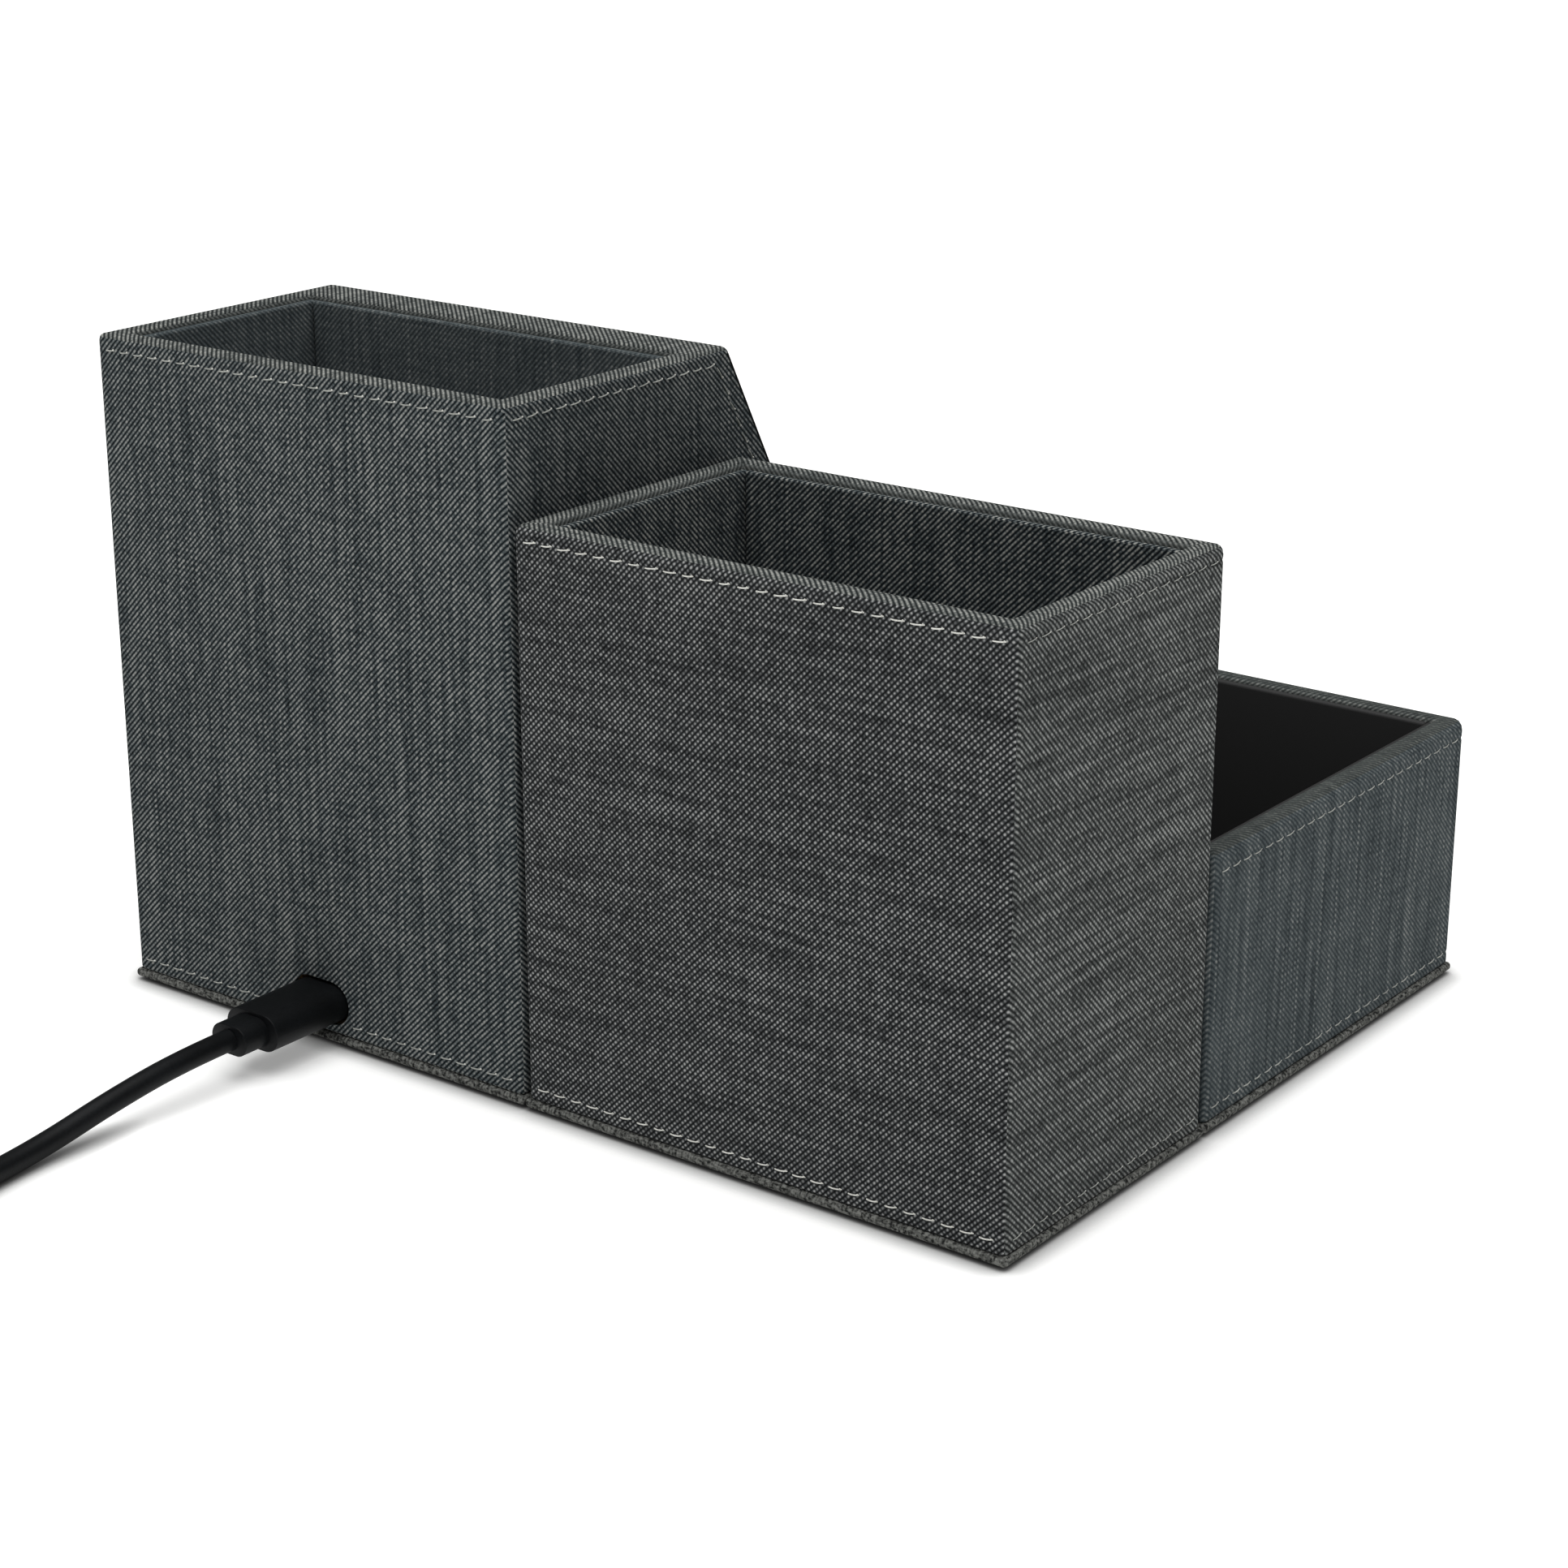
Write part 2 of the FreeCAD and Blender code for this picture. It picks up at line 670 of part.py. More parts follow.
def coil_edges():
    """Half turns that spiral in on the desk, climb a layer and spiral out again on top."""
    across = FreeCAD.Vector(1, 0, 0)
    ahead = FreeCAD.Vector(0, 1, 0)
    spot = coil_start + ahead * cable_diameter
    edges = [Part.LineSegment(coil_start, spot).toShape()]
    growth = turn_radius + last_turn_growth
    radii = half_turn_radii + [inner_turn_radius] + half_turn_radii[:0:-1] + [growth]
    climbs = [0.0] * len(radii)
    climbs[half_turns_in] = second_layer_z - first_layer_z
    climbs[-1] = far_axis_z - second_layer_z
    for k, (radius, climb) in enumerate(zip(radii, climbs)):
        side = 1 if k % 2 == 0 else -1
        rise = FreeCAD.Vector(0, 0, climb)
        end = spot + across * (2 * radius * side) + rise
        slant = (end - spot).Length / 2
        middle = (spot + end) / 2 + ahead * (slant * side)
        edges.append(Part.Arc(spot, middle, end).toShape())
        spot = end
    last = spot - ahead * cable_diameter
    edges.append(Part.LineSegment(spot, last).toShape())
    return edges, last


def least_gap(edges):
    """Least clear distance from the cable to itself, on points along its path."""
    points = []
    for edge in edges:
        points.extend(edge.discretize(Number=points_per_half_turn))
    travelled = [0.0]
    for a, b in zip(points, points[1:]):
        travelled.append(travelled[-1] + (b - a).Length)
    least = min(
        (points[i] - points[j]).Length
        for i in range(len(points)) for j in range(i)
        if travelled[i] - travelled[j] > apart_along_path)
    return least - cable_diameter


def cable_coil():
    """The put-away length of the cable, its tie and the plug at its far end."""
    edges, last = coil_edges()
    nodes["cable_coil"] = tube(edges, cable_diameter, "cable_coil")
    print("cable_coil least gap", round(least_gap(edges), 2))

    centre_x = coil_start.x + turn_radius
    centre_y = coil_start.y + cable_diameter
    outer = half_turn_radii[1] + cable_radius + tie_side_clearance
    inner = half_turn_radii[-1] - cable_radius - tie_side_clearance
    top = second_layer_z + cable_radius + tie_clearance
    band = Plan(centre_x - tie_width / 2, centre_x + tie_width / 2,
                centre_y - outer - tie_thickness, centre_y - inner + tie_thickness)
    opening = Plan(band.x0 - overrun, band.x1 + overrun, centre_y - outer, centre_y - inner)
    loop = band.block(0, top + tie_thickness)
    nodes["cable_tie"] = loop.cut(opening.block(tie_thickness, top))
    far_plug(last)


def far_plug(end):
    """Plug at the far end, lying flat on the desk beside the coil and pointing towards -Y."""
    x, z = end.x, end.z
    heading = FreeCAD.Vector(0, -1, 0)
    collar_end_y = end.y - far_collar_length
    body_end_y = collar_end_y - far_overmold_length
    tip_y = body_end_y - far_shell_length
    body = Plan(x - far_overmold_width / 2, x + far_overmold_width / 2, body_end_y, collar_end_y)
    body = body.block(z - far_overmold_height / 2, z + far_overmold_height / 2)
    long_edges = [e for e in body.Edges if near(e.Length, far_overmold_length)]
    body = body.makeFillet(far_overmold_radius, long_edges)
    collar = Part.makeCone(cable_radius, far_collar_radius, far_collar_length, end, heading)
    nodes["usb_a_overmold"] = body.fuse(collar).removeSplitter()

    width, height = far_shell_width, far_shell_height
    shell = Plan(x - width / 2, x + width / 2, tip_y, body_end_y)
    hollow = Plan(shell.x0 + far_shell_wall, shell.x1 - far_shell_wall, tip_y - overrun, body_end_y)
    low, high = z - height / 2, z + height / 2
    cavity = hollow.block(low + far_shell_wall, high - far_shell_wall)
    nodes["usb_a_shell"] = shell.block(low, high).cut(cavity)
    insert = Plan(hollow.x0, hollow.x1, tip_y, body_end_y)
    insert_top = high - far_shell_wall
    nodes["usb_a_insert"] = insert.block(insert_top - far_insert_height, insert_top)


def main():
    """Builds every piece and writes one file for each."""
    wrapped_box("pen_box", pen_box_plan, pen_box_height)
    wrapped_box("tray", tray_plan, tray_height)
    tower_boards()
    tower_covers()
    tower_linings()
    charger_board()
    usb_c_socket()
    charging_coil()
    coil_lead()
    foot_pads()
    seam_tapes()
    near_plug()
    cable_lead()
    cable_coil()
    os.makedirs("parts", exist_ok=True)
    for name, shape in nodes.items():
        shape.exportStep("parts/" + name + ".step")
        print(name, "valid", shape.isValid(), "solids", len(shape.Solids), "volume", round(shape.Volume, 1))
    print("nodes", len(nodes))


main()
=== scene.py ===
"""Looks of the charging station organizer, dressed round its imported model.

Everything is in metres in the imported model's frame: +Z is up, the front faces -Y, the tower stands
at +X and the cable leaves towards +Y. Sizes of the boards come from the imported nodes.
"""

import json
import logging
import math
import random
from dataclasses import dataclass, field, replace
from enum import Enum

import bmesh
import bpy
from bmesh.types import BMEdge, BMesh, BMFace, BMVert
from bpy.types import Material, Node, NodeSocket, NodeTree, Object
from mathutils import Matrix, Vector


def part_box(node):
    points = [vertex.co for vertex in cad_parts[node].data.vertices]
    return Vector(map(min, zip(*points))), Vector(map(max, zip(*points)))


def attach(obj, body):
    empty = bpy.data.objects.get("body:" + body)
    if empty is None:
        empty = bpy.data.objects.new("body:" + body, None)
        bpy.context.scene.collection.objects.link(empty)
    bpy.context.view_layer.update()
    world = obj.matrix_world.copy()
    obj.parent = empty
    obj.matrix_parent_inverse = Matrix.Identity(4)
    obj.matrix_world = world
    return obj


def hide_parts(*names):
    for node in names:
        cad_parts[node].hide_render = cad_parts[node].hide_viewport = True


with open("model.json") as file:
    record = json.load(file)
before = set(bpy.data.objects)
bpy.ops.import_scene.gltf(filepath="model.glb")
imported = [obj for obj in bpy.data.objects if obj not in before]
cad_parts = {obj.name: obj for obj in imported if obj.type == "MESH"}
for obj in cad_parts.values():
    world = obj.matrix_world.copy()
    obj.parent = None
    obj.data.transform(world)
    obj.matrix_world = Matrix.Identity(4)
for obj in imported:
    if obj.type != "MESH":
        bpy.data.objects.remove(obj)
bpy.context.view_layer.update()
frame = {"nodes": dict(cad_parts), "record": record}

MM = 0.001
UP = Vector((0.0, 0.0, 1.0))
ACROSS = Vector((1.0, 0.0, 0.0))
# Turns a shape that is drawn flat upright, to look along Y
UPRIGHT = Matrix.Rotation(math.pi / 2, 4, "X")
CLOTH_UV = "cloth"
SMOOTH_BELOW = math.radians(50.0)
# Points this close count as one place, and points closer still are welded
TOUCH = 0.01 * MM
WELD = 0.001 * MM
# Neighbouring yarns read the noise a few cells apart, in the middle of a cell, where it varies most
YARN_STEP = 7.0
YARN_START = 0.5
# Noise and waves lie round this value
MIDDLE = 0.5
# The two colour inputs of a Mix node
MIX_A, MIX_B = 6, 7
# Cloth whose normal leans this far up counts as a rim, and this far as a slant
ON_RIM = 0.6
ON_SLANT = 0.3
# Faces whose normals agree this far look the same way, exactly or roughly
EXACTLY = 0.999
ROUGHLY = 0.5
# The cloth's turned-in edge hugs the board and goes on behind the lining cards
HUG = 0.1 * MM
TUCK = 1.0 * MM
# An oblong's corner radius as a share of its height, just short of where the corners would meet
OBLONG_SHARE = 0.499

log = logging.getLogger("organizer")


class Body(Enum):
    """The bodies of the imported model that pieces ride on."""

    ORGANIZER = "organizer"
    CABLE = "charging_cable"


class Side(Enum):
    """The four upright sides of a box, with the way each one looks."""

    BACK = (0.0, 1.0, 0.0)
    LEFT = (-1.0, 0.0, 0.0)
    FRONT = (0.0, -1.0, 0.0)
    RIGHT = (1.0, 0.0, 0.0)

    @property
    def normal(self) -> Vector:
        """The way the side looks."""
        return Vector(self.value)

    @property
    def right(self) -> Vector:
        """What is to the right for someone who faces the side."""
        return UP.cross(self.normal)


class Lay(Enum):
    """How the twill lies on a face: where its slubs run and which way its ribs climb.

    Each value turns a face's own right and up into the cloth's across and along.
    """

    UPRIGHT_RISING = ((1.0, 0.0), (0.0, 1.0))
    UPRIGHT_FALLING = ((-1.0, 0.0), (0.0, 1.0))
    LEVEL_RISING = ((0.0, 1.0), (1.0, 0.0))
    LEVEL_FALLING = ((0.0, 1.0), (-1.0, 0.0))

    def uv(self, right: float, up: float) -> tuple[float, float]:
        """Place on the cloth, across and along it, of a point to the right on a face and up it."""
        (a, b), (c, d) = self.value
        return a * right + b * up, c * right + d * up

    @property
    def mirrored(self) -> "Lay":
        """The lay whose ribs climb the other way."""
        pairs = (Lay.UPRIGHT_RISING, Lay.UPRIGHT_FALLING), (Lay.LEVEL_RISING, Lay.LEVEL_FALLING)
        return next(b if self == a else a for a, b in pairs if self in (a, b))


def linear(hex_colour: str) -> tuple[float, float, float, float]:
    """Turns an sRGB colour into linear light.

    Args:
        hex_colour: six hex digits.

    Returns:
        Red, green, blue and a full alpha.
    """
    def channel(digits: str) -> float:
        value = int(digits, 16) / 255
        return value / 12.92 if value <= 0.04045 else ((value + 0.055) / 1.055) ** 2.4

    red, green, blue = (channel(hex_colour[i:i + 2]) for i in (0, 2, 4))
    return red, green, blue, 1.0


def add(tree: NodeTree, kind: str, inputs: dict | None = None, **settings: object) -> Node:
    """Adds a shader node with its settings and links.

    Args:
        tree: where the node goes.
        kind: the node's type, after the start that all shader nodes share.
        inputs: a value, an output, or a node for its first output in use, by the input's name or number.
        settings: the node's own properties.

    Returns:
        The new node.
    """
    node = tree.nodes.new("ShaderNode" + kind)
    for name, value in settings.items():
        setattr(node, name, value)
    for key, value in (inputs or {}).items():
        if isinstance(value, Node):
            value = next(out for out in value.outputs if out.enabled)
        if isinstance(value, NodeSocket):
            tree.links.new(value, node.inputs[key])
        else:
            node.inputs[key].default_value = value
    return node


def tint(tree: NodeTree, value: Node, reach: tuple[float, float], colours: tuple[str, str]) -> Node:
    """Goes from one colour to another as a value rises.

    Args:
        tree: where the nodes go.
        value: what rises.
        reach: where the first colour ends and the second begins.
        colours: the two, as hex digits.

    Returns:
        The node that gives the colour.
    """
    share = add(tree, "MapRange", {"Value": value, "From Min": reach[0], "From Max": reach[1]})
    first, second = (linear(colour) for colour in colours)
    return add(tree, "Mix", {"Factor": share, MIX_A: first, MIX_B: second}, data_type="RGBA")


@dataclass(frozen=True)
class Finish:
    """A surface finish. Subclasses say how it is dressed."""

    name: str

    def material(self) -> Material:
        """The finish as a material, made the first time it is asked for."""
        known = bpy.data.materials.get(self.name)
        if known is not None:
            return known
        material = bpy.data.materials.new(self.name)
        material.use_nodes = True
        tree = material.node_tree
        tree.nodes.clear()
        surface = add(tree, "BsdfPrincipled", self.dress(tree))
        add(tree, "OutputMaterial", {"Surface": surface})
        return material

    def dress(self, tree: NodeTree) -> dict:
        """Adds the finish's nodes and says what goes into the surface's inputs."""
        raise NotImplementedError


@dataclass(frozen=True)
class Twill(Finish):
    """Melange polyester twill, woven from blue-black and pale grey yarns.

    The eye sees fine diagonal ribs of short pale floats, and streaks one yarn wide where a yarn's dye
    runs lighter or darker.
    """

    repeat_mm: float = 1.02
    bead_share: float = 0.27
    yarn_length_mm: float = 24.0
    yarn_share: float = 0.9
    pick_length_mm: float = 10.0
    pick_share: float = 0.35
    float_share: float = 0.4
    fibre_mm: float = 0.4
    fibre_share: float = 1.2
    cloud_mm: float = 14.0
    cloud_share: float = 0.1
    sway_mm: float = 26.0
    sway_share: float = 0.35
    rib_height_mm: float = 0.1
    bump_share: float = 0.8
    floor_level: float = 0.07
    rib_level: float = 0.84
    levels: tuple[float, ...] = (0.05, 0.3, 0.6, 1.0)
    colours: tuple[str, ...] = ("0b0e10", "373e41", "5a6061", "979895")
    roughness: float = 0.92
    gloss: float = 0.03
    sheen: float = 0.02
    sheen_roughness: float = 0.5

    def dress(self, tree: NodeTree) -> dict:
        """Weaves ribs of separate floats from two crossed waves and lets each yarn's tone drift."""
        uv = add(tree, "UVMap", uv_map=CLOTH_UV)
        sway = add(tree, "TexNoise", {"Vector": uv, "Scale": 1 / (self.sway_mm * MM), "Detail": 1.0})
        swing = self.sway_share * self.repeat_mm * MM
        bent = add(tree, "VectorMath", {0: sway.outputs["Color"], 1: (swing, swing, 0.0), 2: uv},
                   operation="MULTIPLY_ADD")
        counted = add(tree, "VectorMath", {0: bent, "Scale": 1 / (self.repeat_mm * MM)}, operation="SCALE")
        place = add(tree, "SeparateXYZ", {"Vector": counted})
        across, along = place.outputs["X"], place.outputs["Y"]
        waves, numbers = [], []
        for operation in ("SUBTRACT", "ADD"):
            count = add(tree, "Math", {0: across, 1: along}, operation=operation)
            phase = add(tree, "Math", {0: count, 1: 2 * math.pi}, operation="MULTIPLY")
            wave = add(tree, "Math", {0: phase}, operation="COSINE")
            waves.append(add(tree, "Math", {0: wave, 1: MIDDLE, 2: MIDDLE}, operation="MULTIPLY_ADD"))
            numbers.append(add(tree, "Math", {0: count}, operation="ROUND"))
        rib, bead = waves
        beaded = add(tree, "Math", {0: bead, 1: self.bead_share, 2: 1 - self.bead_share},
                     operation="MULTIPLY_ADD")
        relief = add(tree, "Math", {0: rib, 1: beaded}, operation="MULTIPLY")
        number = add(tree, "CombineXYZ", {"X": numbers[0], "Y": numbers[1]})
        shares = [
            (self.drift(tree, numbers, "ADD", along, self.yarn_length_mm), self.yarn_share),
            (self.drift(tree, numbers, "SUBTRACT", across, self.pick_length_mm), self.pick_share),
            (add(tree, "TexWhiteNoise", {"Vector": number}, noise_dimensions="2D"), self.float_share),
        ]
        for size_mm, share in ((self.fibre_mm, self.fibre_share), (self.cloud_mm, self.cloud_share)):
            noise = add(tree, "TexNoise", {"Vector": uv, "Scale": 1 / (size_mm * MM), "Detail": 1.0})
            shares.append((noise, share))
        tone = 1.0
        for value, share in shares:
            centred = add(tree, "Math", {0: value, 1: MIDDLE}, operation="SUBTRACT")
            tone = add(tree, "Math", {0: centred, 1: share, 2: tone}, operation="MULTIPLY_ADD")
        raised = add(tree, "Math", {0: relief, 1: self.rib_level, 2: self.floor_level},
                     operation="MULTIPLY_ADD")
        level = add(tree, "Math", {0: raised, 1: tone}, operation="MULTIPLY")
        ramp = add(tree, "ValToRGB", {"Fac": level})
        stops = ramp.color_ramp.elements
        stops[0].position, stops[1].position = self.levels[0], self.levels[-1]
        for position in self.levels[1:-1]:
            stops.new(position)
        for stop, colour in zip(stops, self.colours):
            stop.color = linear(colour)
        bump = add(tree, "Bump", {"Height": relief, "Distance": self.rib_height_mm * MM,
                                  "Strength": self.bump_share})
        return {"Base Color": ramp, "Normal": bump, "Roughness": self.roughness,
                "Specular IOR Level": self.gloss, "Sheen Weight": self.sheen,
                "Sheen Roughness": self.sheen_roughness}

    def drift(self, tree: NodeTree, numbers: list[Node], operation: str, along: NodeSocket,
              length_mm: float) -> Node:
        """A tone for one set of yarns, which differs from yarn to yarn and drifts along each.

        Args:
            tree: where the nodes go.
            numbers: the float's numbers across and along its rib.
            operation: how the two numbers give the yarn's number.
            along: the place along the yarn, in repeats.
            length_mm: how far a yarn keeps its tone.

        Returns:
            The node that gives the tone.
        """
        yarn = add(tree, "Math", {0: numbers[1], 1: numbers[0]}, operation=operation)
        apart = add(tree, "Math", {0: yarn, 1: YARN_STEP, 2: YARN_START}, operation="MULTIPLY_ADD")
        run = add(tree, "Math", {0: along, 1: self.repeat_mm / length_mm}, operation="MULTIPLY")
        spot = add(tree, "CombineXYZ", {"X": apart, "Y": run})
        return add(tree, "TexNoise", {"Vector": spot, "Scale": 1.0, "Detail": 1.0}, noise_dimensions="2D")


@dataclass(frozen=True)
class Flock(Finish):
    """Short velvety flock on card. It swallows light and shows only a faint brushed nap."""

    colours: tuple[str, str] = ("040505", "090a0a")
    reach: tuple[float, float] = (0.12, 0.4)
    nap_mm: float = 9.0
    fibre_mm: float = 0.5
    depth_mm: float = 0.1
    bump_share: float = 0.5
    gloss: float = 0.03
    sheen: float = 0.015

    def dress(self, tree: NodeTree) -> dict:
        """Brushes the nap with slow noise and roughens it with fine noise."""
        uv = add(tree, "UVMap", uv_map=CLOTH_UV)
        nap = add(tree, "TexNoise", {"Vector": uv, "Scale": 1 / (self.nap_mm * MM), "Detail": 4.0})
        fibre = add(tree, "TexNoise", {"Vector": uv, "Scale": 1 / (self.fibre_mm * MM), "Detail": 2.0})
        tone = add(tree, "Math", {0: nap, 1: fibre}, operation="MULTIPLY")
        bump = add(tree, "Bump", {"Height": fibre, "Distance": self.depth_mm * MM,
                                  "Strength": self.bump_share})
        return {"Base Color": tint(tree, tone, self.reach, self.colours), "Normal": bump, "Roughness": 1.0,
                "Specular IOR Level": self.gloss, "Sheen Weight": self.sheen}


@dataclass(frozen=True)
class BookCloth(Finish):
    """Starched cloth on the base boards. It looks like a close speckle of dark and pale grey threads."""

    colours: tuple[str, str] = ("1e1f1e", "7c7d79")
    reach: tuple[float, float] = (0.15, 0.36)
    thread_mm: float = 0.4
    run_threads: float = 2.0
    depth_mm: float = 0.12
    bump_share: float = 0.7
    roughness: float = 0.9
    gloss: float = 0.15

    def dress(self, tree: NodeTree) -> dict:
        """Crosses two stretched noises for the threads of a plain weave."""
        place = add(tree, "TexCoord").outputs["Object"]
        fine, long = 1 / (self.thread_mm * MM), 1 / (self.run_threads * self.thread_mm * MM)
        threads = []
        for scale in ((fine, long, long), (long, fine, fine)):
            spread = add(tree, "Mapping", {"Vector": place, "Scale": scale})
            threads.append(add(tree, "TexNoise", {"Vector": spread, "Scale": 1.0, "Detail": 2.0}))
        weave = add(tree, "Math", {0: threads[0], 1: threads[1]}, operation="MULTIPLY")
        bump = add(tree, "Bump", {"Height": weave, "Distance": self.depth_mm * MM,
                                  "Strength": self.bump_share})
        return {"Base Color": tint(tree, weave, self.reach, self.colours), "Normal": bump,
                "Roughness": self.roughness, "Specular IOR Level": self.gloss}


@dataclass(frozen=True)
class Speckled(Finish):
    """A solid stuff with a fine surface grain: moulded plastic, rubber, fibreboard or sewing thread.

    Its grit scatters the highlight and its slow cloud varies the tone a little.
    """

    colours: tuple[str, str]
    reach: tuple[float, float] = (0.12, 0.4)
    grit_mm: float = 0.3
    cloud_mm: float = 8.0
    depth_mm: float = 0.02
    bump_share: float = 0.6
    roughness: float = 0.45
    wear: float = 0.06
    gloss: float = 0.3
    metallic: float = 0.0
    stretch: tuple[float, float, float] = (1.0, 1.0, 1.0)

    def dress(self, tree: NodeTree) -> dict:
        """Mixes two tones by cloud and grit, and takes the bump from the grit."""
        place = add(tree, "TexCoord").outputs["Object"]
        drawn = add(tree, "Mapping", {"Vector": place, "Scale": self.stretch})
        grit = add(tree, "TexNoise", {"Vector": drawn, "Scale": 1 / (self.grit_mm * MM), "Detail": 2.0})
        cloud = add(tree, "TexNoise", {"Vector": drawn, "Scale": 1 / (self.cloud_mm * MM), "Detail": 3.0})
        tone = add(tree, "Math", {0: grit, 1: cloud}, operation="MULTIPLY")
        worn = add(tree, "MapRange", {"Value": cloud, "To Min": self.roughness - self.wear,
                                      "To Max": self.roughness + self.wear})
        bump = add(tree, "Bump", {"Height": grit, "Distance": self.depth_mm * MM,
                                  "Strength": self.bump_share})
        return {"Base Color": tint(tree, tone, self.reach, self.colours), "Normal": bump, "Roughness": worn,
                "Metallic": self.metallic, "Specular IOR Level": self.gloss}


@dataclass(frozen=True)
class Winding(Finish):
    """Enamelled copper wire, wound flat. Its turns show as fine bright rings, painted as a highlight on each
    turn and shade between turns.
    """

    centre: tuple[float, float, float]
    colours: tuple[str, str] = ("6e3a1e", "d08a5a")
    wire_mm: float = 1.1
    depth_mm: float = 0.15
    roughness: float = 0.35

    def dress(self, tree: NodeTree) -> dict:
        """Paints a highlight ring for each turn and shade between turns, by the distance from the coil's
        centre.
        """
        place = add(tree, "TexCoord").outputs["Object"]
        reach = add(tree, "VectorMath", {0: place, 1: self.centre}, operation="DISTANCE")
        turns = add(tree, "Math", {0: reach, 1: 2 * math.pi / (self.wire_mm * MM)}, operation="MULTIPLY")
        wave = add(tree, "Math", {0: turns}, operation="SINE")
        bump = add(tree, "Bump", {"Height": wave, "Distance": self.depth_mm * MM})
        # The colour rings are painted highlight and shade; the bump gives the turns their relief
        return {"Base Color": tint(tree, wave, (-1.0, 1.0), self.colours), "Normal": bump, "Metallic": 1.0,
                "Roughness": self.roughness}


@dataclass(frozen=True)
class SolderMask(Finish):
    """Green lacquer over copper tracks on a glass-fibre board. The tracks show as paler lines."""

    lacquer: str = "0d4a2a"
    track: str = "1f6b40"
    cell_mm: float = 6.4
    track_share: float = 0.05
    depth_mm: float = 0.03
    roughness: float = 0.35

    def dress(self, tree: NodeTree) -> dict:
        """Lays out tracks as the joints of a brick pattern."""
        place = add(tree, "TexCoord").outputs["Object"]
        lacquer = linear(self.lacquer)
        bricks = add(tree, "TexBrick", {"Vector": place, "Color1": lacquer, "Color2": lacquer,
                                        "Mortar": linear(self.track), "Scale": 1 / (self.cell_mm * MM),
                                        "Mortar Size": self.track_share})
        bump = add(tree, "Bump", {"Height": bricks.outputs["Fac"], "Distance": self.depth_mm * MM})
        return {"Base Color": bricks, "Normal": bump, "Roughness": self.roughness}


@dataclass(frozen=True)
class LitPaper(Finish):
    """White paper on a light table. It looks bright and even, with a painted soft shadow under what stands
    on it.
    """

    colour: str = "f1f1f0"
    shade: str = "000000"
    glow: float = 0.4
    far_glow: float = 1.0
    near_m: float = 1.0
    far_m: float = 3.0
    contact_mm: float = 4.5
    contact_power: float = 1.6
    roughness: float = 0.9

    def dress(self, tree: NodeTree) -> dict:
        """Sets a white that glows more where the panel no longer lights it, and paints a shadow at contacts.
        """
        place = add(tree, "TexCoord").outputs["Object"]
        reach = add(tree, "VectorMath", {0: place}, operation="LENGTH")
        glow = add(tree, "MapRange", {"Value": reach, "From Min": self.near_m, "From Max": self.far_m,
                                      "To Min": self.glow, "To Max": self.far_glow})
        # Occlusion darkens the paper near what stands on it: a painted contact shadow
        unhidden = add(tree, "AmbientOcclusion", {"Distance": self.contact_mm * MM}).outputs["AO"]
        light = add(tree, "Math", {0: unhidden, 1: self.contact_power}, operation="POWER")
        colour = add(tree, "Mix", {"Factor": light, MIX_A: linear(self.shade), MIX_B: linear(self.colour)},
                     data_type="RGBA")
        return {"Base Color": colour, "Emission Color": colour, "Emission Strength": glow,
                "Roughness": self.roughness, "Specular IOR Level": 0.0}


# Twill on the tower: even diagonal ribs with upright streaks
SLATE = Twill("slate_twill")
# Twill with fat floats, which look like rows of pale beads
SLATE_BEADED = replace(SLATE, name="slate_twill_beaded", repeat_mm=1.06, bead_share=0.75, yarn_share=0.8,
                       floor_level=0.09, rib_level=0.88, colours=("0a0b0c", "3a3c3d", "5f6162", "a3a4a3"))
# Twill with uneven yarns, which show as long streaks
SLATE_SLUBBED = replace(SLATE, name="slate_twill_slubbed", yarn_share=1.0, floor_level=0.11, rib_level=0.74,
                        colours=("121414", "3a3c3c", "5e6160", "989a98"))
# Twill on the tower's lining cards, in shade: its ribs blur to a haze
SLATE_HAZE = replace(SLATE, name="slate_twill_haze", yarn_share=0.7, float_share=0.2, fibre_share=0.6,
                     floor_level=0.34, rib_level=0.32)
# Pressed twill on the tray: flat ribs, clear streaks
SLATE_SOFT = replace(SLATE_HAZE, name="slate_twill_soft", yarn_share=1.15, floor_level=0.27, rib_level=0.36)
# Twill on the pen box's lining cards, with crisper floats
SLATE_LINING = replace(SLATE, name="slate_twill_lining", colours=("0b0e10", "373e41", "5a6061", "a2a29c"))
# Twill stretched over a fold: its ribs open and the gaps between them pale; it is also a lighter copy for
# the rims' up-facing faces, as painted top light
PAINTED_TOPLIGHT_FOLD = replace(SLATE, name="fold_twill_painted_toplight", colours=("1e2121", "444847", "696c6a", "9a9b96"))
# Pressed twill over the tray's folds, soft and a little darker, with paler gaps: a copy for the up-facing
# rims, as painted top light
PAINTED_TOPLIGHT_TRAY_RIM = replace(SLATE_HAZE, name="tray_rim_twill_painted_toplight", floor_level=0.18, rib_level=0.27,
                          colours=("1e2121", "444847", "696c68", "9a9b94"))
# Twill turned in behind the lining: soft and even, and paler than the walls' twill, as painted fill light in
# the shade of the mouth
PAINTED_FILL_TUCK = replace(SLATE_HAZE, name="tucked_twill_painted_fill", floor_level=0.28, rib_level=0.42,
                       colours=PAINTED_TOPLIGHT_FOLD.colours)
# Flock: a black that swallows light
BLACK_FLOCK = Flock("black_flock")
# Book cloth: a grey speckle along the base
BASE_CLOTH = BookCloth("grey_book_cloth")
# Spun thread: short pale dashes that catch the light
THREAD = Speckled("spun_polyester_thread", ("c6c6c0", "ecece6"), grit_mm=0.25, depth_mm=0.03, roughness=0.7,
                  gloss=0.2)
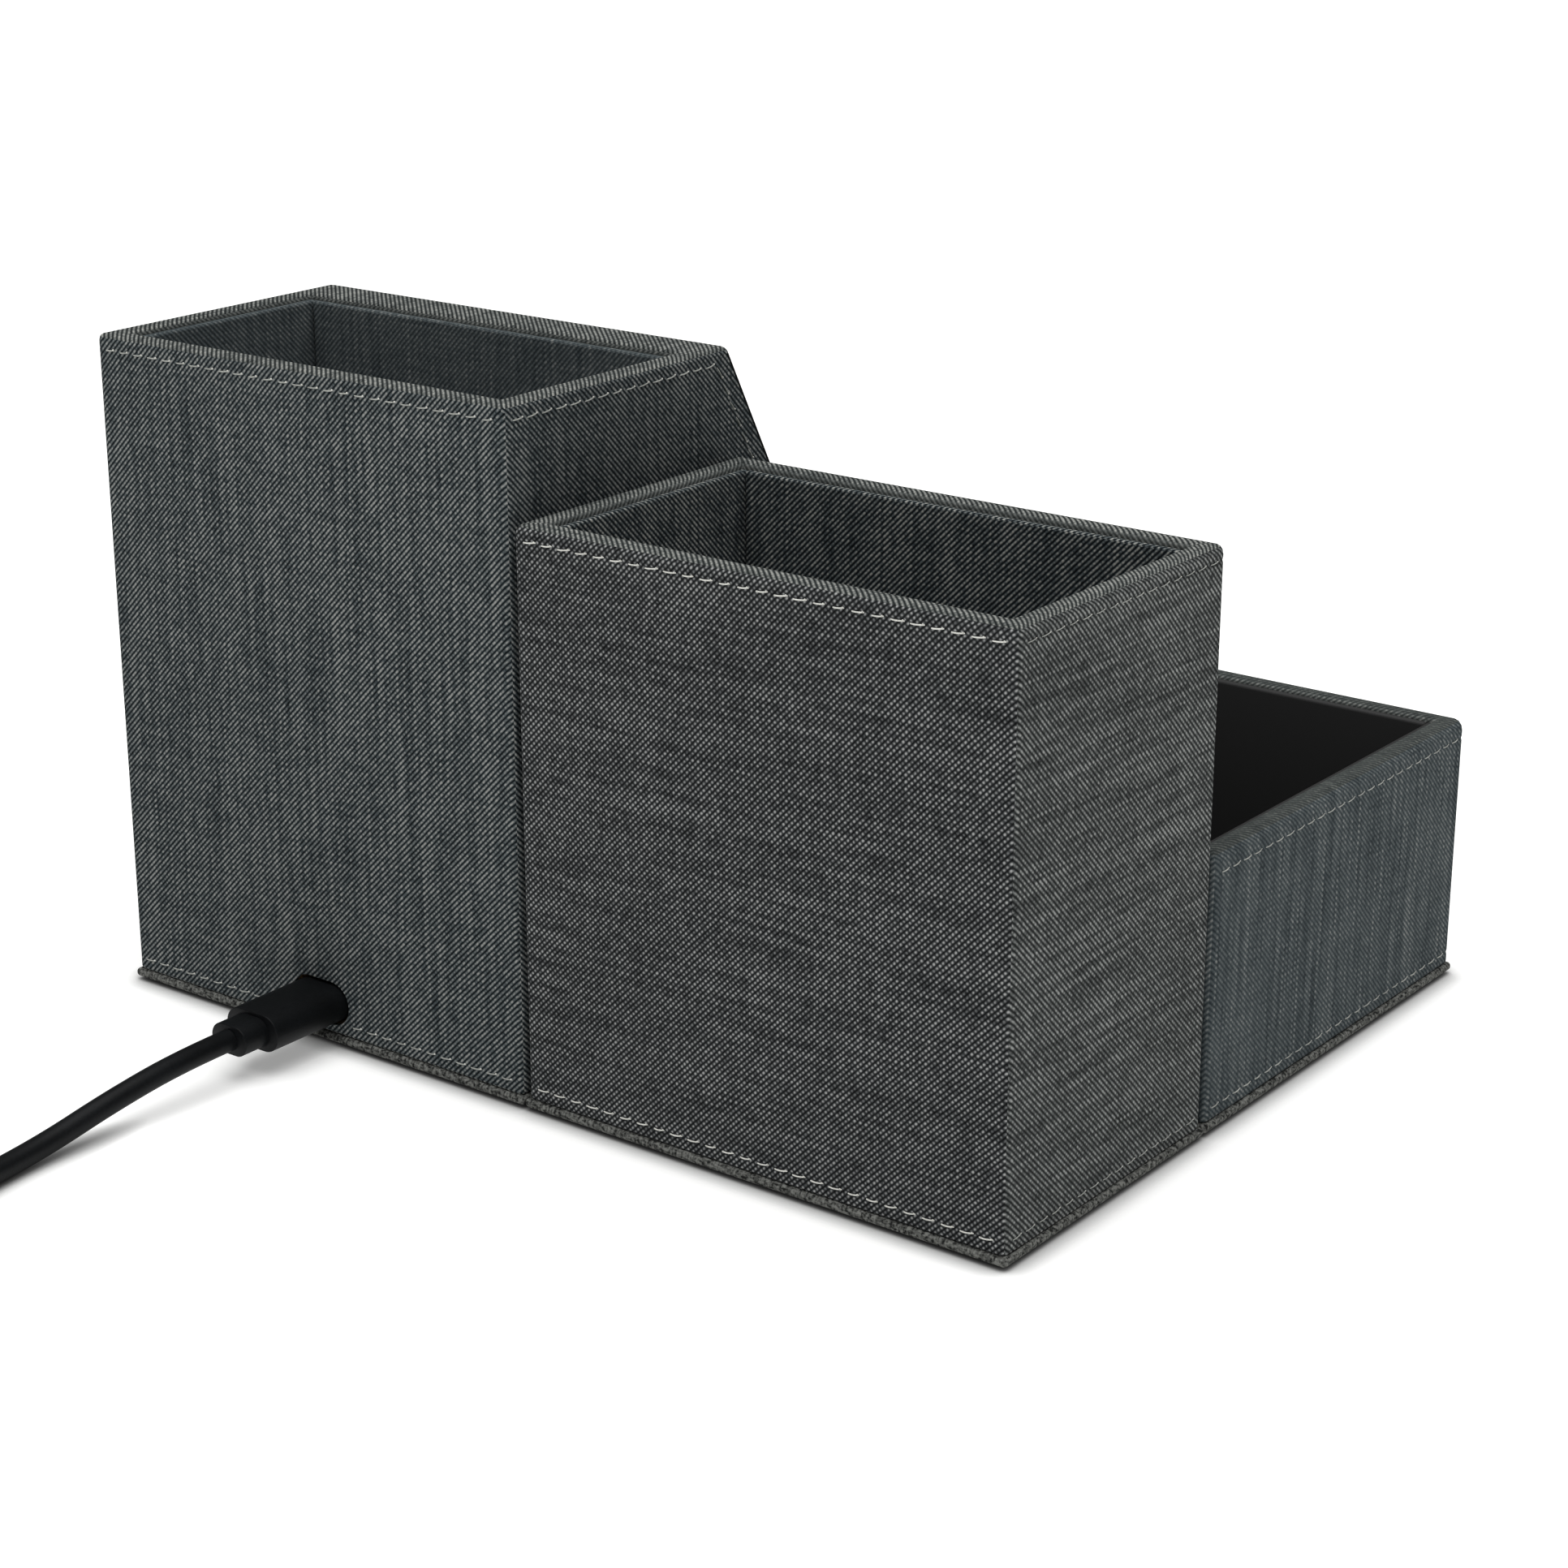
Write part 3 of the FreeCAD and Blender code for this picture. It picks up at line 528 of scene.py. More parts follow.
# Thread pulled into the cloth: greyer and duller
THREAD_SUNK = Speckled("spun_polyester_thread_sunk", ("929490", "bcbeb8"), grit_mm=0.25, depth_mm=0.03,
                       roughness=0.8, gloss=0.05)
# Painted shade: a thin matt black line on the slanted edges' folds, where the cloth turns away from the
# light
PAINTED_EDGE_SHADE = Speckled("black_painted_edge_shade", ("030404", "070808"), roughness=0.8, gloss=0.03)
# Moulded elastomer: satin black with broad soft highlights
PLUG_BODY = Speckled("moulded_black_elastomer", ("0b0c0d", "111315"), grit_mm=0.35, gloss=0.12)
# Extruded PVC: satin black, a little duller than the plug
JACKET = Speckled("black_pvc_jacket", ("0b0c0d", "121416"), grit_mm=0.5, roughness=0.48, gloss=0.12)
# Sawn fibreboard: mottled brown with a furry cut edge
FIBREBOARD = Speckled("raw_fibreboard", ("7d6142", "b3946a"), grit_mm=0.5, cloud_mm=4.0, depth_mm=0.08,
                      roughness=0.85)
# Plated steel: bright, with faint lines along the plug
NICKEL = Speckled("nickel_plated_steel", ("b9b8b3", "d3d2cd"), grit_mm=0.4, roughness=0.28, metallic=1.0,
                  gloss=0.5, depth_mm=0.005, stretch=(1.0, 0.1, 1.0))
# Sintered ferrite: dull dark grey
FERRITE = Speckled("sintered_ferrite", ("2a2b2d", "3d3e41"), grit_mm=0.4, roughness=0.7)
# Moulded epoxy: dull black
CHIP = Speckled("black_epoxy", ("101112", "1a1b1d"), roughness=0.55)
# Moulded ABS: clean warm white
CARRIER = Speckled("white_abs", ("d2d1cc", "e2e1dd"), grit_mm=0.5, roughness=0.4)
# Silicone: dull black pads
FOOT = Speckled("black_silicone", ("151617", "222425"), grit_mm=0.4, roughness=0.65)
# Foam: black with open pores
FOAM = Speckled("black_foam_tape", ("141515", "2b2c2d"), grit_mm=0.6, depth_mm=0.15, roughness=0.95,
                gloss=0.1)
# Woven strap: black with a coarse rib
STRAP = Speckled("woven_black_strap", ("0e0f10", "24262a"), grit_mm=0.5, depth_mm=0.12, roughness=0.9,
                 gloss=0.1, stretch=(1.0, 0.4, 0.4))


def corners(node: str) -> tuple[Vector, Vector]:
    """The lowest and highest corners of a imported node."""
    low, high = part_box(node)
    return Vector(low), Vector(high)


@dataclass(frozen=True)
class Plan:
    """A rectangle seen from above."""

    x0: float
    x1: float
    y0: float
    y1: float

    @classmethod
    def of(cls, node: str) -> "Plan":
        """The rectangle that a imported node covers."""
        low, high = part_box(node)
        return cls(low[0], high[0], low[1], high[1])

    @property
    def middle(self) -> Vector:
        """The rectangle's middle."""
        return Vector(((self.x0 + self.x1) / 2, (self.y0 + self.y1) / 2, 0.0))

    def inset(self, distance: float) -> "Plan":
        """The rectangle drawn in on every side."""
        return Plan(self.x0 + distance, self.x1 - distance, self.y0 + distance, self.y1 - distance)

    def holds(self, point: Vector) -> bool:
        """Whether a point lies within the rectangle, seen from above."""
        return self.x0 < point.x < self.x1 and self.y0 < point.y < self.y1

    def nearest(self, point: Vector) -> Side:
        """The side of the rectangle that a point is nearest to."""
        gaps = {
            Side.LEFT: point.x - self.x0,
            Side.RIGHT: self.x1 - point.x,
            Side.FRONT: point.y - self.y0,
            Side.BACK: self.y1 - point.y,
        }
        return min(gaps, key=gaps.get)

    def side_ends(self, side: Side, margin: float) -> tuple[Vector, Vector]:
        """Both ends of a side at height 0, from left to right for someone who faces it.

        Args:
            side: which side.
            margin: how far the ends are drawn in from the corners.

        Returns:
            The left end and the right end.
        """
        half = Vector(((self.x1 - self.x0) / 2, (self.y1 - self.y0) / 2, 0.0))
        out = side.normal * abs(side.normal.dot(half))
        along = side.right * (abs(side.right.dot(half)) - margin)
        return self.middle + out - along, self.middle + out + along

    def planes(self, *sides: Side) -> list[tuple[Vector, Vector]]:
        """Upright planes through some sides, each as a point and its outward normal."""
        low, high = Vector((self.x0, self.y0, 0.0)), Vector((self.x1, self.y1, 0.0))
        return [(high if sum(side.value) > 0 else low, side.normal) for side in sides]


def of_kind(geom: list, kind: type) -> list:
    """The vertices, edges or faces in an operator's result."""
    return [g for g in geom if isinstance(g, kind)]


def round_edges(bm: BMesh, edges: list[BMEdge], radius: float, segments: int) -> None:
    """Rounds edges.

    Args:
        bm: the mesh.
        edges: what to round.
        radius: the rounding's radius.
        segments: how many faces across the rounding.
    """
    bmesh.ops.bevel(bm, geom=edges, offset=radius, offset_type="OFFSET", affect="EDGES", segments=segments,
                    profile=0.5, material=-1, clamp_overlap=True)


def block(low: Vector, high: Vector) -> BMesh:
    """A new mesh with a box between two corners."""
    bm = bmesh.new()
    shape = Matrix.Translation((low + high) / 2) @ Matrix.Diagonal((*(high - low), 1.0))
    bmesh.ops.create_cube(bm, size=1.0, matrix=shape)
    return bm


def rectangle(bm: BMesh, width: float, height: float, matrix: Matrix, corner: float,
              segments: int) -> BMFace:
    """A face with rounded corners.

    Args:
        bm: the mesh it goes into.
        width: size along the matrix's X.
        height: size along the matrix's Y.
        matrix: where the middle goes.
        corner: the corners' radius.
        segments: how many edges round each corner.

    Returns:
        The face.
    """
    scale = Matrix.Diagonal((width, height, 1.0, 1.0))
    verts = bmesh.ops.create_grid(bm, x_segments=1, y_segments=1, size=0.5, matrix=matrix @ scale)["verts"]
    rounded = bmesh.ops.bevel(bm, geom=verts, offset=corner, offset_type="OFFSET", affect="VERTICES",
                              segments=segments, profile=0.5, material=-1)
    return rounded["verts"][0].link_faces[0]


def extrude_face(bm: BMesh, face: BMFace, way: Vector) -> list[BMVert]:
    """Draws a face out into a closed bar.

    Args:
        bm: the mesh.
        face: the bar's first end.
        way: from the first end to the other.

    Returns:
        The vertices of the other end.
    """
    far = of_kind(bmesh.ops.extrude_face_region(bm, geom=[face])["geom"], BMVert)
    bmesh.ops.translate(bm, vec=way, verts=far)
    bmesh.ops.recalc_face_normals(bm, faces=bm.faces)
    return far


def look_outwards(bm: BMesh, sample: BMFace, way: Vector) -> None:
    """Turns all faces the same way round.

    Args:
        bm: the mesh.
        sample: a face whose way is known.
        way: the way it has to look.
    """
    bmesh.ops.recalc_face_normals(bm, faces=bm.faces)
    if sample.normal.dot(way) < 0:
        bmesh.ops.reverse_faces(bm, faces=bm.faces)


def make_piece(name: str, bm: BMesh, finishes: list[Finish], body: Body = Body.ORGANIZER,
               replaces: tuple[str, ...] = ()) -> Object:
    """Turns a mesh into a piece of the object.

    Args:
        name: the piece's name.
        bm: its mesh, which is used up.
        finishes: its finishes, in the order of its material numbers.
        body: the body that it rides on.
        replaces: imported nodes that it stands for.

    Returns:
        The piece.
    """
    mesh = bpy.data.meshes.new(name)
    for edge in bm.edges:
        edge.smooth = len(edge.link_faces) == 2 and edge.calc_face_angle(0.0) < SMOOTH_BELOW
    for face in bm.faces:
        face.smooth = True
    bm.to_mesh(mesh)
    bm.free()
    for finish in finishes:
        mesh.materials.append(finish.material())
    piece = bpy.data.objects.new(name, mesh)
    bpy.context.scene.collection.objects.link(piece)
    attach(piece, body.value)
    if replaces:
        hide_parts(*replaces)
    log.info("%s: %d faces", name, len(mesh.polygons))
    return piece


def finish_cloth(piece: Object, thickness: float) -> None:
    """Gives a cloth skin its thickness and keeps its flat faces flat.

    Args:
        piece: the skin.
        thickness: how far the cloth goes in from the skin.
    """
    solid = piece.modifiers.new("cloth", "SOLIDIFY")
    solid.thickness = thickness
    solid.offset = -1.0
    solid.use_even_offset = True
    weighted = piece.modifiers.new("flat_faces", "WEIGHTED_NORMAL")
    weighted.keep_sharp = True


@dataclass(frozen=True)
class Stitching:
    """A row of lockstitch in pale thread: short raised stitches that slant a little along the seam.

    Each ends in a small bright knot, where the lower thread is pulled up.
    """

    pitch: float = 3.4 * MM
    length: float = 2.2 * MM
    thread: float = 0.24 * MM
    arch: float = 0.22 * MM
    proud: float = 0.12 * MM
    slant: float = math.radians(6.0)
    sag: float = math.radians(8.0)
    tilt_jitter_share: float = 0.48
    size_jitter_share: float = 0.12
    knot: float = 0.15 * MM
    knot_place_share: float = 0.4
    sides: int = 6
    steps: int = 5

    def template(self, bm: BMesh) -> list:
        """One stitch along X with its back up Z, as an arc whose ends dip into the cloth.

        Args:
            bm: the empty mesh it goes into.

        Returns:
            The stitch's vertices, edges and faces.
        """
        radius = self.length ** 2 / (8 * self.arch)
        angle = 2 * math.asin(self.length / (2 * radius))
        centre = Vector((0.0, 0.0, self.proud - radius))
        upright = Matrix.Translation((0.0, 0.0, self.proud)) @ Matrix.Rotation(math.pi / 2, 4, "Y")
        ring = bmesh.ops.create_circle(bm, segments=self.sides, radius=self.thread / 2,
                                       matrix=upright)["verts"]
        bmesh.ops.rotate(bm, verts=ring, cent=centre, matrix=Matrix.Rotation(-angle / 2, 3, "Y"))
        edges = list({e for v in ring for e in v.link_edges})
        bmesh.ops.spin(bm, geom=ring + edges, cent=centre, axis=(0.0, 1.0, 0.0), angle=angle,
                       steps=self.steps)
        bmesh.ops.holes_fill(bm, edges=list(bm.edges), sides=self.sides)
        bmesh.ops.recalc_face_normals(bm, faces=list(bm.faces))
        for face in bm.faces:
            face.material_index = 1
        at_end = (self.length * self.knot_place_share, self.thread / 2, self.proud - self.arch / 3)
        bmesh.ops.create_icosphere(bm, subdivisions=1, radius=self.knot, matrix=Matrix.Translation(at_end))
        return [*bm.verts, *bm.edges, *bm.faces]

    def sew(self, bm: BMesh, template: list, seams: list["Seam"], rng: random.Random) -> None:
        """Copies the stitch along seams.

        Args:
            bm: the mesh that holds the template.
            template: the stitch's vertices, edges and faces.
            seams: where to sew.
            rng: where the small differences between stitches come from.
        """
        for seam in seams:
            for spot in seam.spots(self.pitch):
                tilt = self.slant * (1 + rng.uniform(-1, 1) * self.tilt_jitter_share)
                size = 1 + rng.uniform(-1, 1) * self.size_jitter_share
                turned = Matrix.Rotation(tilt, 4, "Z") @ Matrix.Rotation(self.sag, 4, "X")
                placed = Matrix.Translation(spot) @ seam.basis() @ turned
                copy = bmesh.ops.duplicate(bm, geom=template)["geom"]
                if not seam.sunk:
                    for face in of_kind(copy, BMFace):
                        face.material_index = 0
                shape = placed @ Matrix.Diagonal((size, seam.girth, seam.girth, 1.0))
                bmesh.ops.transform(bm, matrix=shape, verts=of_kind(copy, BMVert))


@dataclass(frozen=True)
class Seam:
    """A straight seam on a flat face, sewn from its start to its end."""

    start: Vector
    end: Vector
    normal: Vector
    gap: tuple[float, float] = (0.0, 0.0)
    sunk: bool = True
    girth: float = 1.0

    def basis(self) -> Matrix:
        """Turns a stitch along X with its back up Z onto the seam."""
        along = (self.end - self.start).normalized()
        across = self.normal.cross(along)
        return Matrix((along, across, self.normal)).transposed().to_4x4()

    def spots(self, pitch: float) -> list[Vector]:
        """Middles of the stitches, evenly spaced and clear of the seam's gap.

        Args:
            pitch: the spacing wanted.

        Returns:
            The places.
        """
        way = self.end - self.start
        count = max(1, round(way.length / pitch))
        places = [(i + 0.5) / count * way.length for i in range(count)]
        low, high = self.gap
        return [self.start + way.normalized() * s for s in places if s < low or s > high or low == high]


def sew_piece(name: str, seams: list[Seam], style: Stitching, seed: int) -> Object:
    """Makes one piece of all the stitches on a box.

    Args:
        name: the piece's name.
        seams: where to sew.
        style: what the stitches are like.
        seed: starts the small differences.

    Returns:
        The piece.
    """
    bm = bmesh.new()
    template = style.template(bm)
    style.sew(bm, template, seams, random.Random(seed))
    bmesh.ops.delete(bm, geom=of_kind(template, BMVert), context="VERTS")
    return make_piece(name, bm, [THREAD, THREAD_SUNK])


def lay_by_normal(bm: BMesh, lays: dict[Side, Lay]) -> None:
    """Lays cloth on flat pieces by the way each face looks.

    Args:
        bm: the mesh.
        lays: the lay for faces that look each way.
    """
    layer = bm.loops.layers.uv.new(CLOTH_UV)
    for face in bm.faces:
        side = max(Side, key=lambda s: s.normal.dot(face.normal))
        flat = abs(face.normal.z) > side.normal.dot(face.normal)
        for loop in face.loops:
            co = loop.vert.co
            if flat:
                loop[layer].uv = Lay.UPRIGHT_RISING.uv(co.x, co.y)
            else:
                loop[layer].uv = lays[side].uv(co.dot(side.right), co.z)


@dataclass
class Walls:
    """How a box's walls are built up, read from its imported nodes."""

    name: str
    plan: Plan = field(init=False)
    inside: Plan = field(init=False)
    bottom: float = field(init=False)
    top: float = field(init=False)
    cover: float = field(init=False)
    lining_top: float = field(init=False)

    def __post_init__(self) -> None:
        """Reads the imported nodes."""
        low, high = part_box(self.name + "_cover")
        self.plan = Plan(low[0], high[0], low[1], high[1])
        self.bottom, self.top = low[2], high[2]
        self.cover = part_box(self.name + "_left_board")[0][0] - low[0]
        left, right = Plan.of(self.name + "_left_lining"), Plan.of(self.name + "_right_lining")
        self.inside = Plan(left.x0, right.x1, left.y0, left.y1)
        self.lining_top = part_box(self.name + "_left_lining")[1][2]

    @property
    def mouth(self) -> Plan:
        """The opening between the rims."""
        return self.inside.inset(self.cover)

    @property
    def rim(self) -> float:
        """The width of the rims at the sides."""
        return self.mouth.x0 - self.plan.x0

    @property
    def groove(self) -> Plan:
        """Where the wrapped cloth dips behind the lining cards."""
        return self.inside.inset(HUG)

    @property
    def tuck_bottom(self) -> float:
        """How low the cloth goes behind the lining cards."""
        return self.lining_top - TUCK


@dataclass
class Lining:
    """The lining cards of a box: a floor card and four wall cards with soft edges."""

    walls: Walls
    finish: Finish
    slot: str
    lays: dict[Side, Lay]
    rise: float = 0.0
    edge_radius: float = 0.6 * MM
    edge_segments: int = 3

    def build(self) -> None:
        """Makes every card. The wall cards stand up to where the rim's fold begins."""
        for part in ("floor", "left", "right", "back", "front"):
            node = f"{self.walls.name}_{part}_lining"
            low, high = corners(node)
            if part != "floor":
                high.z += self.rise
            bm = block(low, high)
            round_edges(bm, list(bm.edges), self.edge_radius, self.edge_segments)
            lay_by_normal(bm, self.lays)
            make_piece(f"{self.walls.name}_{part}_card", bm, [self.finish], replaces=(node,))


@dataclass
class WrappedBox:
    """A plain open box of boards in one wrapped cover, sewn along its top and its foot."""

    name: str
    lays: dict[Side, Lay]
    finishes: dict[Side, Finish]
    rim_finish: Finish
    lining: Finish
    lining_slot: str
    lining_lays: dict[Side, Lay]
    lining_rise: float
    rim_fold: float
    seam_below_rim: float
    seed: int
    fold: float = 1.2 * MM
    foot_fold: float = 0.6 * MM
    inner_fold: float = 1.0 * MM
    fold_segments: int = 4
    seam_above_foot: float = 2.2 * MM
    seam_margin: float = 1.6 * MM
    crease_width: float = 0.9 * MM
    crease_depth: float = 0.12 * MM
    bold_sides: tuple[Side, ...] = ()
    plain_girth: float = 1.0
    rim_turned: bool = True
    stitching: Stitching = Stitching()
    walls: Walls = field(init=False)

    def __post_init__(self) -> None:
        """Reads the box's walls."""
        self.walls = Walls(self.name)

    def build(self) -> None:
        """Makes the cover, the linings and the stitches."""
        self.cover()
        Lining(self.walls, self.lining, self.lining_slot, self.lining_lays, self.lining_rise).build()
        sew_piece(self.name + "_stitches", self.seams(), self.stitching, self.seed)

    def seam_heights(self) -> tuple[float, float]:
        """Heights of the foot seam and the rim seam."""
        return self.walls.bottom + self.seam_above_foot, self.walls.top - self.seam_below_rim

    def seams(self) -> list[Seam]:
        """The foot seam and the rim seam on each side."""
        rows = []
        for side in Side:
            start, end = self.walls.plan.side_ends(side, self.seam_margin)
            bold = side in self.bold_sides
            girth = 1.0 if bold else self.plain_girth
            for z in self.seam_heights():
                rows.append(Seam(start + UP * z, end + UP * z, side.normal, sunk=not bold, girth=girth))
        return rows

    def section(self) -> list[tuple[float, float]]:
        """The cloth's way over the wall, from under the foot to inside the rim.

        Returns:
            Points of inset from the outside and height.
        """
        w, steps = self.walls, self.fold_segments
        quarter = [math.pi / 2 * i / steps for i in range(steps + 1)]
        rim = w.groove.x0 - w.plan.x0
        under = [(w.inside.x0 - w.plan.x0, w.bottom)]
        bend = self.foot_fold
        foot = [(bend - bend * math.sin(a), w.bottom + bend - bend * math.cos(a)) for a in quarter]
        creases, half = [], self.crease_width / 2
        for z in self.seam_heights():
            creases += [(0.0, z - half), (self.crease_depth, z), (0.0, z + half)]
        bend = self.rim_fold
        outer = [(bend - bend * math.cos(a), w.top - bend + bend * math.sin(a)) for a in quarter]
        bend = self.inner_fold
        inner = [(rim - bend + bend * math.sin(a), w.top - bend + bend * math.cos(a)) for a in quarter]
        return under + foot + creases + outer + inner + [(rim, w.tuck_bottom)]

    def place(self, foot: Vector, inset: float, z: float) -> Vector:
        """Where a point of the outline goes at an inset and a height.

        Args:
            foot: the point on the rounded outline.
            inset: how far in the outline is drawn.
            z: the height.

        Returns:
            The place.
        """
        plan, fold = self.walls.plan, self.fold
        core = plan.inset(fold)
        centre = Vector((min(max(foot.x, core.x0), core.x1), min(max(foot.y, core.y0), core.y1), 0.0))
        way = foot - plan.middle
        corner = Vector((math.copysign(1, way.x), math.copysign(1, way.y), 0.0))
        if inset <= fold:
            spot = centre + (foot - centre) * (1 - inset / fold)
        else:
            spot = centre - corner * (inset - fold)
        return spot + UP * z

    def cover(self) -> None:
        """Draws the rounded outline over the wall's section as one skin of cloth."""
        plan = self.walls.plan
        bm = bmesh.new()
        outline_layer = bm.verts.layers.float_vector.new("outline")
        run_layer = bm.verts.layers.float.new("run")
        base = rectangle(bm, plan.x1 - plan.x0, plan.y1 - plan.y0, Matrix.Translation(plan.middle),
                         self.fold, self.fold_segments)
        bmesh.ops.delete(bm, geom=[base], context="FACES_ONLY")
        for vert in bm.verts:
            vert[outline_layer] = vert.co
        points = self.section()
        edges, verts = list(bm.edges), list(bm.verts)
        run = 0.0
        for i, (inset, z) in enumerate(points):
            if i:
                made = bmesh.ops.extrude_edge_only(bm, edges=edges)["geom"]
                edges, verts = of_kind(made, BMEdge), of_kind(made, BMVert)
                run += math.dist(points[i - 1], points[i])
            for vert in verts:
                vert.co = self.place(vert[outline_layer], inset, z)
                vert[run_layer] = run
        bmesh.ops.remove_doubles(bm, verts=list(bm.verts), dist=WELD)
        behind = plan.inset(self.fold).y1
        back = max(bm.faces, key=lambda f: f.calc_area() * (f.calc_center_median().y > behind))
        look_outwards(bm, back, Side.BACK.normal)
        finishes = list(dict.fromkeys([*self.finishes.values(), self.rim_finish, PAINTED_FILL_TUCK]))
        layer = bm.loops.layers.uv.new(CLOTH_UV)
        for face in bm.faces:
            side = plan.nearest(face.calc_center_median())
            lay, finish = self.lays[side], self.finishes[side]
            # Up-facing rims take a lighter copy of the twill: painted top light
            if face.normal.z > ON_RIM:
                finish = self.rim_finish
            # Faces that look into the mouth take a paler twill: painted fill light in its shade
            elif face.normal.dot(side.normal) < -ON_RIM:
                finish = PAINTED_FILL_TUCK
            if self.rim_turned and finish is not self.finishes[side]:
                lay = lay.mirrored
            face.material_index = finishes.index(finish)
            for loop in face.loops:
                loop[layer].uv = lay.uv(loop.vert.co.dot(side.right), loop.vert[run_layer])
        piece = make_piece(self.name + "_wrap", bm, finishes,
                           replaces=(self.name + "_cover",))
        finish_cloth(piece, self.walls.cover)


@dataclass
class ChargingTower:
    """The tall box with the slanted charging face, its phone slot and the plug's port."""

    lays: dict[Side, Lay]
    lining_lays: dict[Side, Lay]
    seed: int = 7
    fold: float = 1.2 * MM
    foot_fold: float = 0.6 * MM
    inner_fold: float = 1.0 * MM
    fold_segments: int = 3
    lining_rise: float = 0.6 * MM
    face_margin: float = 2.4 * MM
    panel_radius: float = 0.45 * MM
    panel_corner_segments: int = 2
    panel_edge_segments: int = 3
    panel_proud: float = 0.15 * MM
    seam_inset: float = 2.6 * MM
    slant_seam_inset: float = 4.2 * MM
    seam_above_foot: float = 2.2 * MM
    seam_margin: float = 1.6 * MM
    port_seam_gap: float = 6.0 * MM
    port_width: float = 13.0 * MM
    port_height: float = 7.7 * MM
    port_segments: int = 8
    # How far a fold's first faces lean from a side towards the slanted face; these faces get the painted
    # edge shade
    edge_lean: tuple[float, float] = (0.2, 0.5)
    stitching: Stitching = Stitching(length=2.3 * MM, knot=0.17 * MM)
    walls: Walls = field(init=False)
    face_point: Vector = field(init=False)
    face_normal: Vector = field(init=False)
    lip_top: float = field(init=False)
    pad_top: float = field(init=False)

    def __post_init__(self) -> None:
        """Reads the tower's walls and the plane of its charging face."""
        self.walls = Walls("tower")
        front, back = Plan.of("tower_front_lining"), Plan.of("tower_back_lining")
        inside = self.walls.inside
        self.walls.inside = Plan(inside.x0, inside.x1, front.y0, back.y1)
        mount = next(m for m in frame["record"]["mounts"] if m["name"] == "charging_face")
        self.face_point = Vector(mount["pos_m"])
        self.face_normal = Vector(mount["axis"]).normalized()
        self.lip_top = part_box("tower_lip_board")[1][2] + self.walls.cover
        self.pad_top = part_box("ledge_pad")[1][2]

    def build(self) -> None:
        """Makes the cover, the charging face, the ledge pad, the linings and the stitches."""
        self.cover()
        self.face_panel()
        self.ledge_pad()
        Lining(self.walls, SLATE_HAZE, "slate_lining", self.lining_lays, self.lining_rise).build()
        sew_piece("tower_stitches", self.seams(), self.stitching, self.seed)

    @property
    def up_face(self) -> Vector:
        """The way up the slanted face."""
        return ACROSS.cross(self.face_normal) * -1

    def face_y(self, z: float) -> float:
        """The charging face's Y at a height."""
        normal = self.face_normal
        return self.face_point.y - normal.z / normal.y * (z - self.face_point.z)

    def face_spot(self, x: float, z: float) -> Vector:
        """The charging face's point at an X and a height."""
        return Vector((x, self.face_y(z), z))

    def outline(self) -> list[tuple[float, float]]:
        """The tower's side outline as points of Y and height."""
        w = self.walls
        return [
            (w.plan.y1, w.bottom),
            (w.plan.y1, w.top),
            (self.face_y(w.top), w.top),
            (self.face_y(self.lip_top), self.lip_top),
            (w.plan.y0, self.lip_top),
            (w.plan.y0, w.bottom),
        ]

    @staticmethod
    def largest(bm: BMesh, way: Vector, z: float | None = None) -> BMFace:
        """The largest face that looks one way.

        Args:
            bm: the mesh.
            way: the way it looks.
            z: its height, where several look that way.

        Returns:
            The face.
        """
        close = [f for f in bm.faces if f.normal.dot(way) > EXACTLY]
        if z is not None:
            close = [f for f in close if abs(f.calc_center_median().z - z) < MM]
        return max(close, key=lambda f: f.calc_area())

    @staticmethod
    def cut_out(bm: BMesh, face: BMFace, planes: list[tuple[Vector, Vector]]) -> BMFace:
        """Cuts a face along planes and finds the part that lies on the inner side of all of them.

        Args:
            bm: the mesh.
            face: the face to cut.
            planes: a point and an outward normal for each cut.

        Returns:
            The part within the cuts.
        """
        def within(part: BMFace) -> bool:
            middle = part.calc_center_median()
            return all((middle - point).dot(normal) < 0 for point, normal in planes)

        parts = [face]
        for point, normal in planes:
            geom = list({g for f in parts for g in (f, *f.edges, *f.verts)})
            result = bmesh.ops.bisect_plane(bm, geom=geom, plane_co=point, plane_no=normal)
            parts = of_kind(result["geom"], BMFace)
        return next(p for p in parts if within(p))

    def cut_port(self, bm: BMesh) -> None:
        """Cuts the oblong port out of the back wall."""
        back = self.largest(bm, Side.BACK.normal)
        border = list(back.edges)
        bmesh.ops.delete(bm, geom=[back], context="FACES_ONLY")
        low, high = corners("usb_c_overmold")
        middle = (low + high) / 2
        place = Matrix.Translation((middle.x, self.walls.plan.y1, middle.z)) @ UPRIGHT
        oblong = rectangle(bm, self.port_width, self.port_height, place, OBLONG_SHARE * self.port_height,
                           self.port_segments)
        ring = list(oblong.edges)
        bmesh.ops.delete(bm, geom=[oblong], context="FACES_ONLY")
        bmesh.ops.triangle_fill(bm, edges=border + ring, use_beauty=True)

    def cover(self) -> None:
        """Folds the tower's cloth: a prism with rounded folds, opened for the mouth, face, slot and port."""
        w = self.walls
        plan, mouth, up_face = w.plan, w.mouth, self.up_face
        bm = bmesh.new()
        left = bm.faces.new([bm.verts.new((plan.x0, y, z)) for y, z in self.outline()])
        extrude_face(bm, left, ACROSS * (plan.x1 - plan.x0))
        bend = self.face_spot(0.0, self.lip_top)
        folds = [e for e in bm.edges if any((v.co - bend).yz.length > MM for v in e.verts)
                 and any(v.co.z > w.bottom + MM for v in e.verts)]
        round_edges(bm, folds, self.fold, self.fold_segments)
        feet = [e for e in bm.edges if all(v.co.z < w.bottom + TOUCH for v in e.verts)]
        round_edges(bm, feet, self.foot_fold, self.fold_segments)

